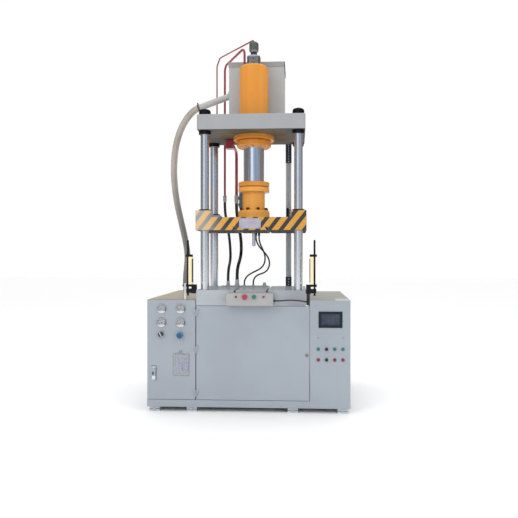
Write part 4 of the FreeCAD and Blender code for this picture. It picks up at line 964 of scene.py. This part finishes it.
# the clear sleeve with papers that hangs from the blue knob
def documentPouch():
    sleeve = {"x": (-0.6925, -0.5385), "z": (0.328, 0.542), "back": -0.6507, "film": 0.0005,
              "swell": {"pouch_front": -0.0044, "pouch_back": -0.0004}, "ripple": 0.0004,
              "papers": ((-0.6855, -0.6533, 0.336), (-0.5455, -0.6518, 0.526)),
              "margins": {"x": (-0.668, -0.549), "z": (0.378, 0.502)},
              "tab": ((-0.6335, -0.6535, 0.538), (-0.6075, -0.6515, 0.564))}
    (left, right), (foot, top) = sleeve["x"], sleeve["z"]
    width = right - left
    height = top - foot
    middle = ((left + right) / 2, sleeve["back"], (foot + top) / 2)
    film = Finish("pouch_film", 0.2)
    folds = film.noise(26, 3, (1, 1, 0.5))
    film.set(Base_Color=film.mixed((0.42, 0.46, 0.50), (0.56, 0.58, 0.62), folds),
             Alpha=0.03 + folds * 0.08, Normal=film.bump(folds, 0.25, 0.002))
    for side, (name, depth) in enumerate(sleeve["swell"].items()):
        clear()
        bpy.ops.mesh.primitive_grid_add(x_subdivisions=14, y_subdivisions=20, size=1,
                                        location=middle, rotation=(math.radians(90), 0, 0))
        bpy.context.object.scale = (width, height, 1)
        sheet = settle(name)
        for vertex in sheet.data.vertices:
            across = (vertex.co.x - middle[0]) / width * 2
            up = (vertex.co.z - middle[2]) / height * 2
            flat = (1 - across ** 6) * (1 - up ** 6)
            ripple = sleeve["ripple"] * math.sin(across * 5 + up * 3) * flat
            vertex.co.y += depth * flat + ripple * (1 - side)
        wall = sheet.modifiers.new("wall", "SOLIDIFY")
        wall.thickness = sleeve["film"]
        wall.offset = 0
        bpy.ops.object.modifier_apply(modifier=wall.name)
        bpy.ops.object.shade_smooth()
        fitted(sheet, film, "left_door")
        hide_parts("document_pouch")
    papers = block("pouch_papers", *sleeve["papers"])
    sink(facing, 0.006, -0.0002)
    breakEdges(papers, 0.0003)
    stack = Finish("paper_stack", 0.7)
    streaks = stack.ramp(stack.noise(60, 3, (1, 1, 0.06)), 0.4, 0.7)
    sheets = stack.mixed((0.31, 0.33, 0.41), (0.20, 0.22, 0.29), streaks * 0.8)
    (innerLeft, innerRight), (innerFoot, innerTop) = sleeve["margins"]["x"], sleeve["margins"]["z"]
    ends = stack.within(z=(innerTop, None)) + stack.within(z=(None, innerFoot))
    sides = stack.within(x=(None, innerLeft)) + stack.within(x=(innerRight, None))
    rim = stack.maths("MAXIMUM", ends, sides)
    stack.set(Base_Color=stack.mixed(sheets, (0.32, 0.34, 0.33), rim * 0.85))
    fitted(papers, stack, "left_door")
    tab = block("pouch_tab", *sleeve["tab"])
    sink(facing, 0.006, 0.0008)
    breakEdges(tab, 0.0006)
    tabPlastic = moulded("tab_plastic", (0.22, 0.24, 0.26), (0.27, 0.29, 0.31), 0.45)
    fitted(tab, tabPlastic, "left_door")


documentPouch()
strings = {
    "pouch_string_left": [
        (-0.6235, -0.6540, 0.560), (-0.6255, -0.6540, 0.585), (-0.6330, -0.6540, 0.625),
        (-0.6420, -0.6530, 0.662), (-0.6455, -0.6500, 0.687)],
    "pouch_string_right": [
        (-0.6175, -0.6540, 0.560), (-0.6155, -0.6540, 0.585), (-0.6110, -0.6540, 0.625),
        (-0.6065, -0.6530, 0.662), (-0.6055, -0.6500, 0.687)],
}
paleThread = moulded("pale_thread", (0.72, 0.73, 0.76), (0.60, 0.61, 0.64), 0.7, 600, 0.4)
for name, route in strings.items():
    line = evenly(centreLine(name, route), 0.003)
    piece = hoseMesh(name, line, 0.001, 10)
    fitted(piece, paleThread, "left_door")
    span = sum((b - a).length for a, b in zip(line, line[1:]))
print("document pouch hung")


# cable trunking beside the right cabinet's entry
def cableDuct():
    trunking = {"low": (0.534, -0.640, 0.983), "high": (0.5665, -0.575, 1.083), "cuts": 5, "rim": 0.0012}
    duct = block("cable_duct", trunking["low"], trunking["high"])
    bpy.ops.object.mode_set(mode="EDIT")
    bpy.ops.mesh.select_all(action="SELECT")
    bpy.ops.mesh.subdivide(number_cuts=trunking["cuts"])
    pick(lambda _, normal: abs(normal.y) > 0.9 or normal.z > 0.9)
    bpy.ops.mesh.inset(thickness=trunking["rim"], depth=0, use_individual=True)
    bpy.ops.mesh.inset(thickness=0.0003, depth=-trunking["rim"], use_individual=True)
    bpy.ops.object.mode_set(mode="OBJECT")
    fitted(duct, blackPlastic, "frame")


cableDuct()
print("cable duct fitted")


# floor, light and world
def paleFloor():
    clear()
    bpy.ops.mesh.primitive_plane_add(size=60)
    floor = bpy.context.object
    floor.name = "floor"
    pale = Finish("floor_pale", 0.7)
    pale.set(Base_Color=pale.mixed((0.93, 0.93, 0.93), (0.945, 0.945, 0.945), pale.noise(0.6, 2)))
    floor.data.materials.append(pale.material)


lights = {
    "key": {"place": (-3.2, -5.2, 4.6), "aim": (0, -0.3, 1.6), "size": (2.4, 2.4), "power": 60},
    "fill": {"place": (4.2, -4.6, 3.2), "aim": (0, -0.3, 1.4), "size": (2.0, 3.0), "power": 30},
    "over": {"place": (0.3, 0.2, 6.2), "aim": (0.2, -0.2, 1.0), "size": (4.0, 4.0), "power": 60},
}


def softLight(name, place, aim, size, power):
    lamp = bpy.data.lights.new(name, "AREA")
    lamp.shape = "RECTANGLE"
    lamp.size, lamp.size_y = size
    lamp.energy = power
    holder = bpy.data.objects.new(name, lamp)
    holder.location = place
    holder.rotation_euler = (Vector(aim) - Vector(place)).to_track_quat("-Z", "Y").to_euler()
    holder.visible_glossy = False
    scene.collection.objects.link(holder)


def studioWorld():
    # white behind the press, even light on it, and a room with windows for the metal to mirror
    world = bpy.data.worlds.new("studio")
    world.use_nodes = True
    room = Nodes(world.node_tree)
    room.tree.nodes.clear()
    spot = room.node("ShaderNodeTexCoord")
    x, y, z = room.axes(spot)
    turn = room.maths("ARCTAN2", x, y * -1) / (2 * math.pi) + 0.5
    stops = [(-180, (0.50, 0.50, 0.50)), (-166, (0.50, 0.50, 0.50)), (-158, (0.20, 0.20, 0.195)),
             (-88, (0.19, 0.19, 0.17)), (-64, (0.17, 0.17, 0.20)), (-46, (0.24, 0.26, 0.33)),
             (-34, (0.30, 0.32, 0.40)), (-28, (0.88, 0.91, 0.96)), (-10, (0.88, 0.91, 0.96)),
             (-3, (0.52, 0.59, 0.70)), (8, (0.44, 0.52, 0.65)), (14, (0.26, 0.36, 0.53)),
             (44, (0.27, 0.355, 0.48)), (52, (0.36, 0.365, 0.37)), (72, (0.33, 0.335, 0.33)),
             (82, (0.21, 0.19, 0.185)), (158, (0.20, 0.20, 0.195)), (166, (0.50, 0.50, 0.50))]
    places = [((angle + 180) / 360, colour) for angle, colour in stops]
    walls = room.node("ShaderNodeValToRGB", {"stops": places}, {0: turn})
    mirrored = room.mixed(walls, (0.95, 0.96, 1.0), room.ramp(z, 0.55, 0.85))
    even = room.mixed((1.07, 1.07, 1.07), (1.12, 1.12, 1.12), room.ramp(z, -0.2, 0.9))
    backgrounds = []
    for colour in (even, mirrored, (1.0, 1.0, 1.0)):
        backgrounds.append(room.node("ShaderNodeBackground", values={"Color": colour, "Strength": 1.0}))
    glossy = room.node("ShaderNodeLightPath", output="Is Glossy Ray")
    seen = room.node("ShaderNodeLightPath", output="Is Camera Ray")
    inside = room.node("ShaderNodeMixShader", values={0: glossy, 1: backgrounds[0], 2: backgrounds[1]})
    whole = room.node("ShaderNodeMixShader", values={0: seen, 1: inside, 2: backgrounds[2]})
    out = room.tree.nodes.new("ShaderNodeOutputWorld")
    room.feed(out.inputs["Surface"], whole)
    scene.world = world


paleFloor()
studioWorld()
for name, facts in lights.items():
    softLight(name, **facts)
scene.view_settings.view_transform = "Standard"
print("floor and lights set")
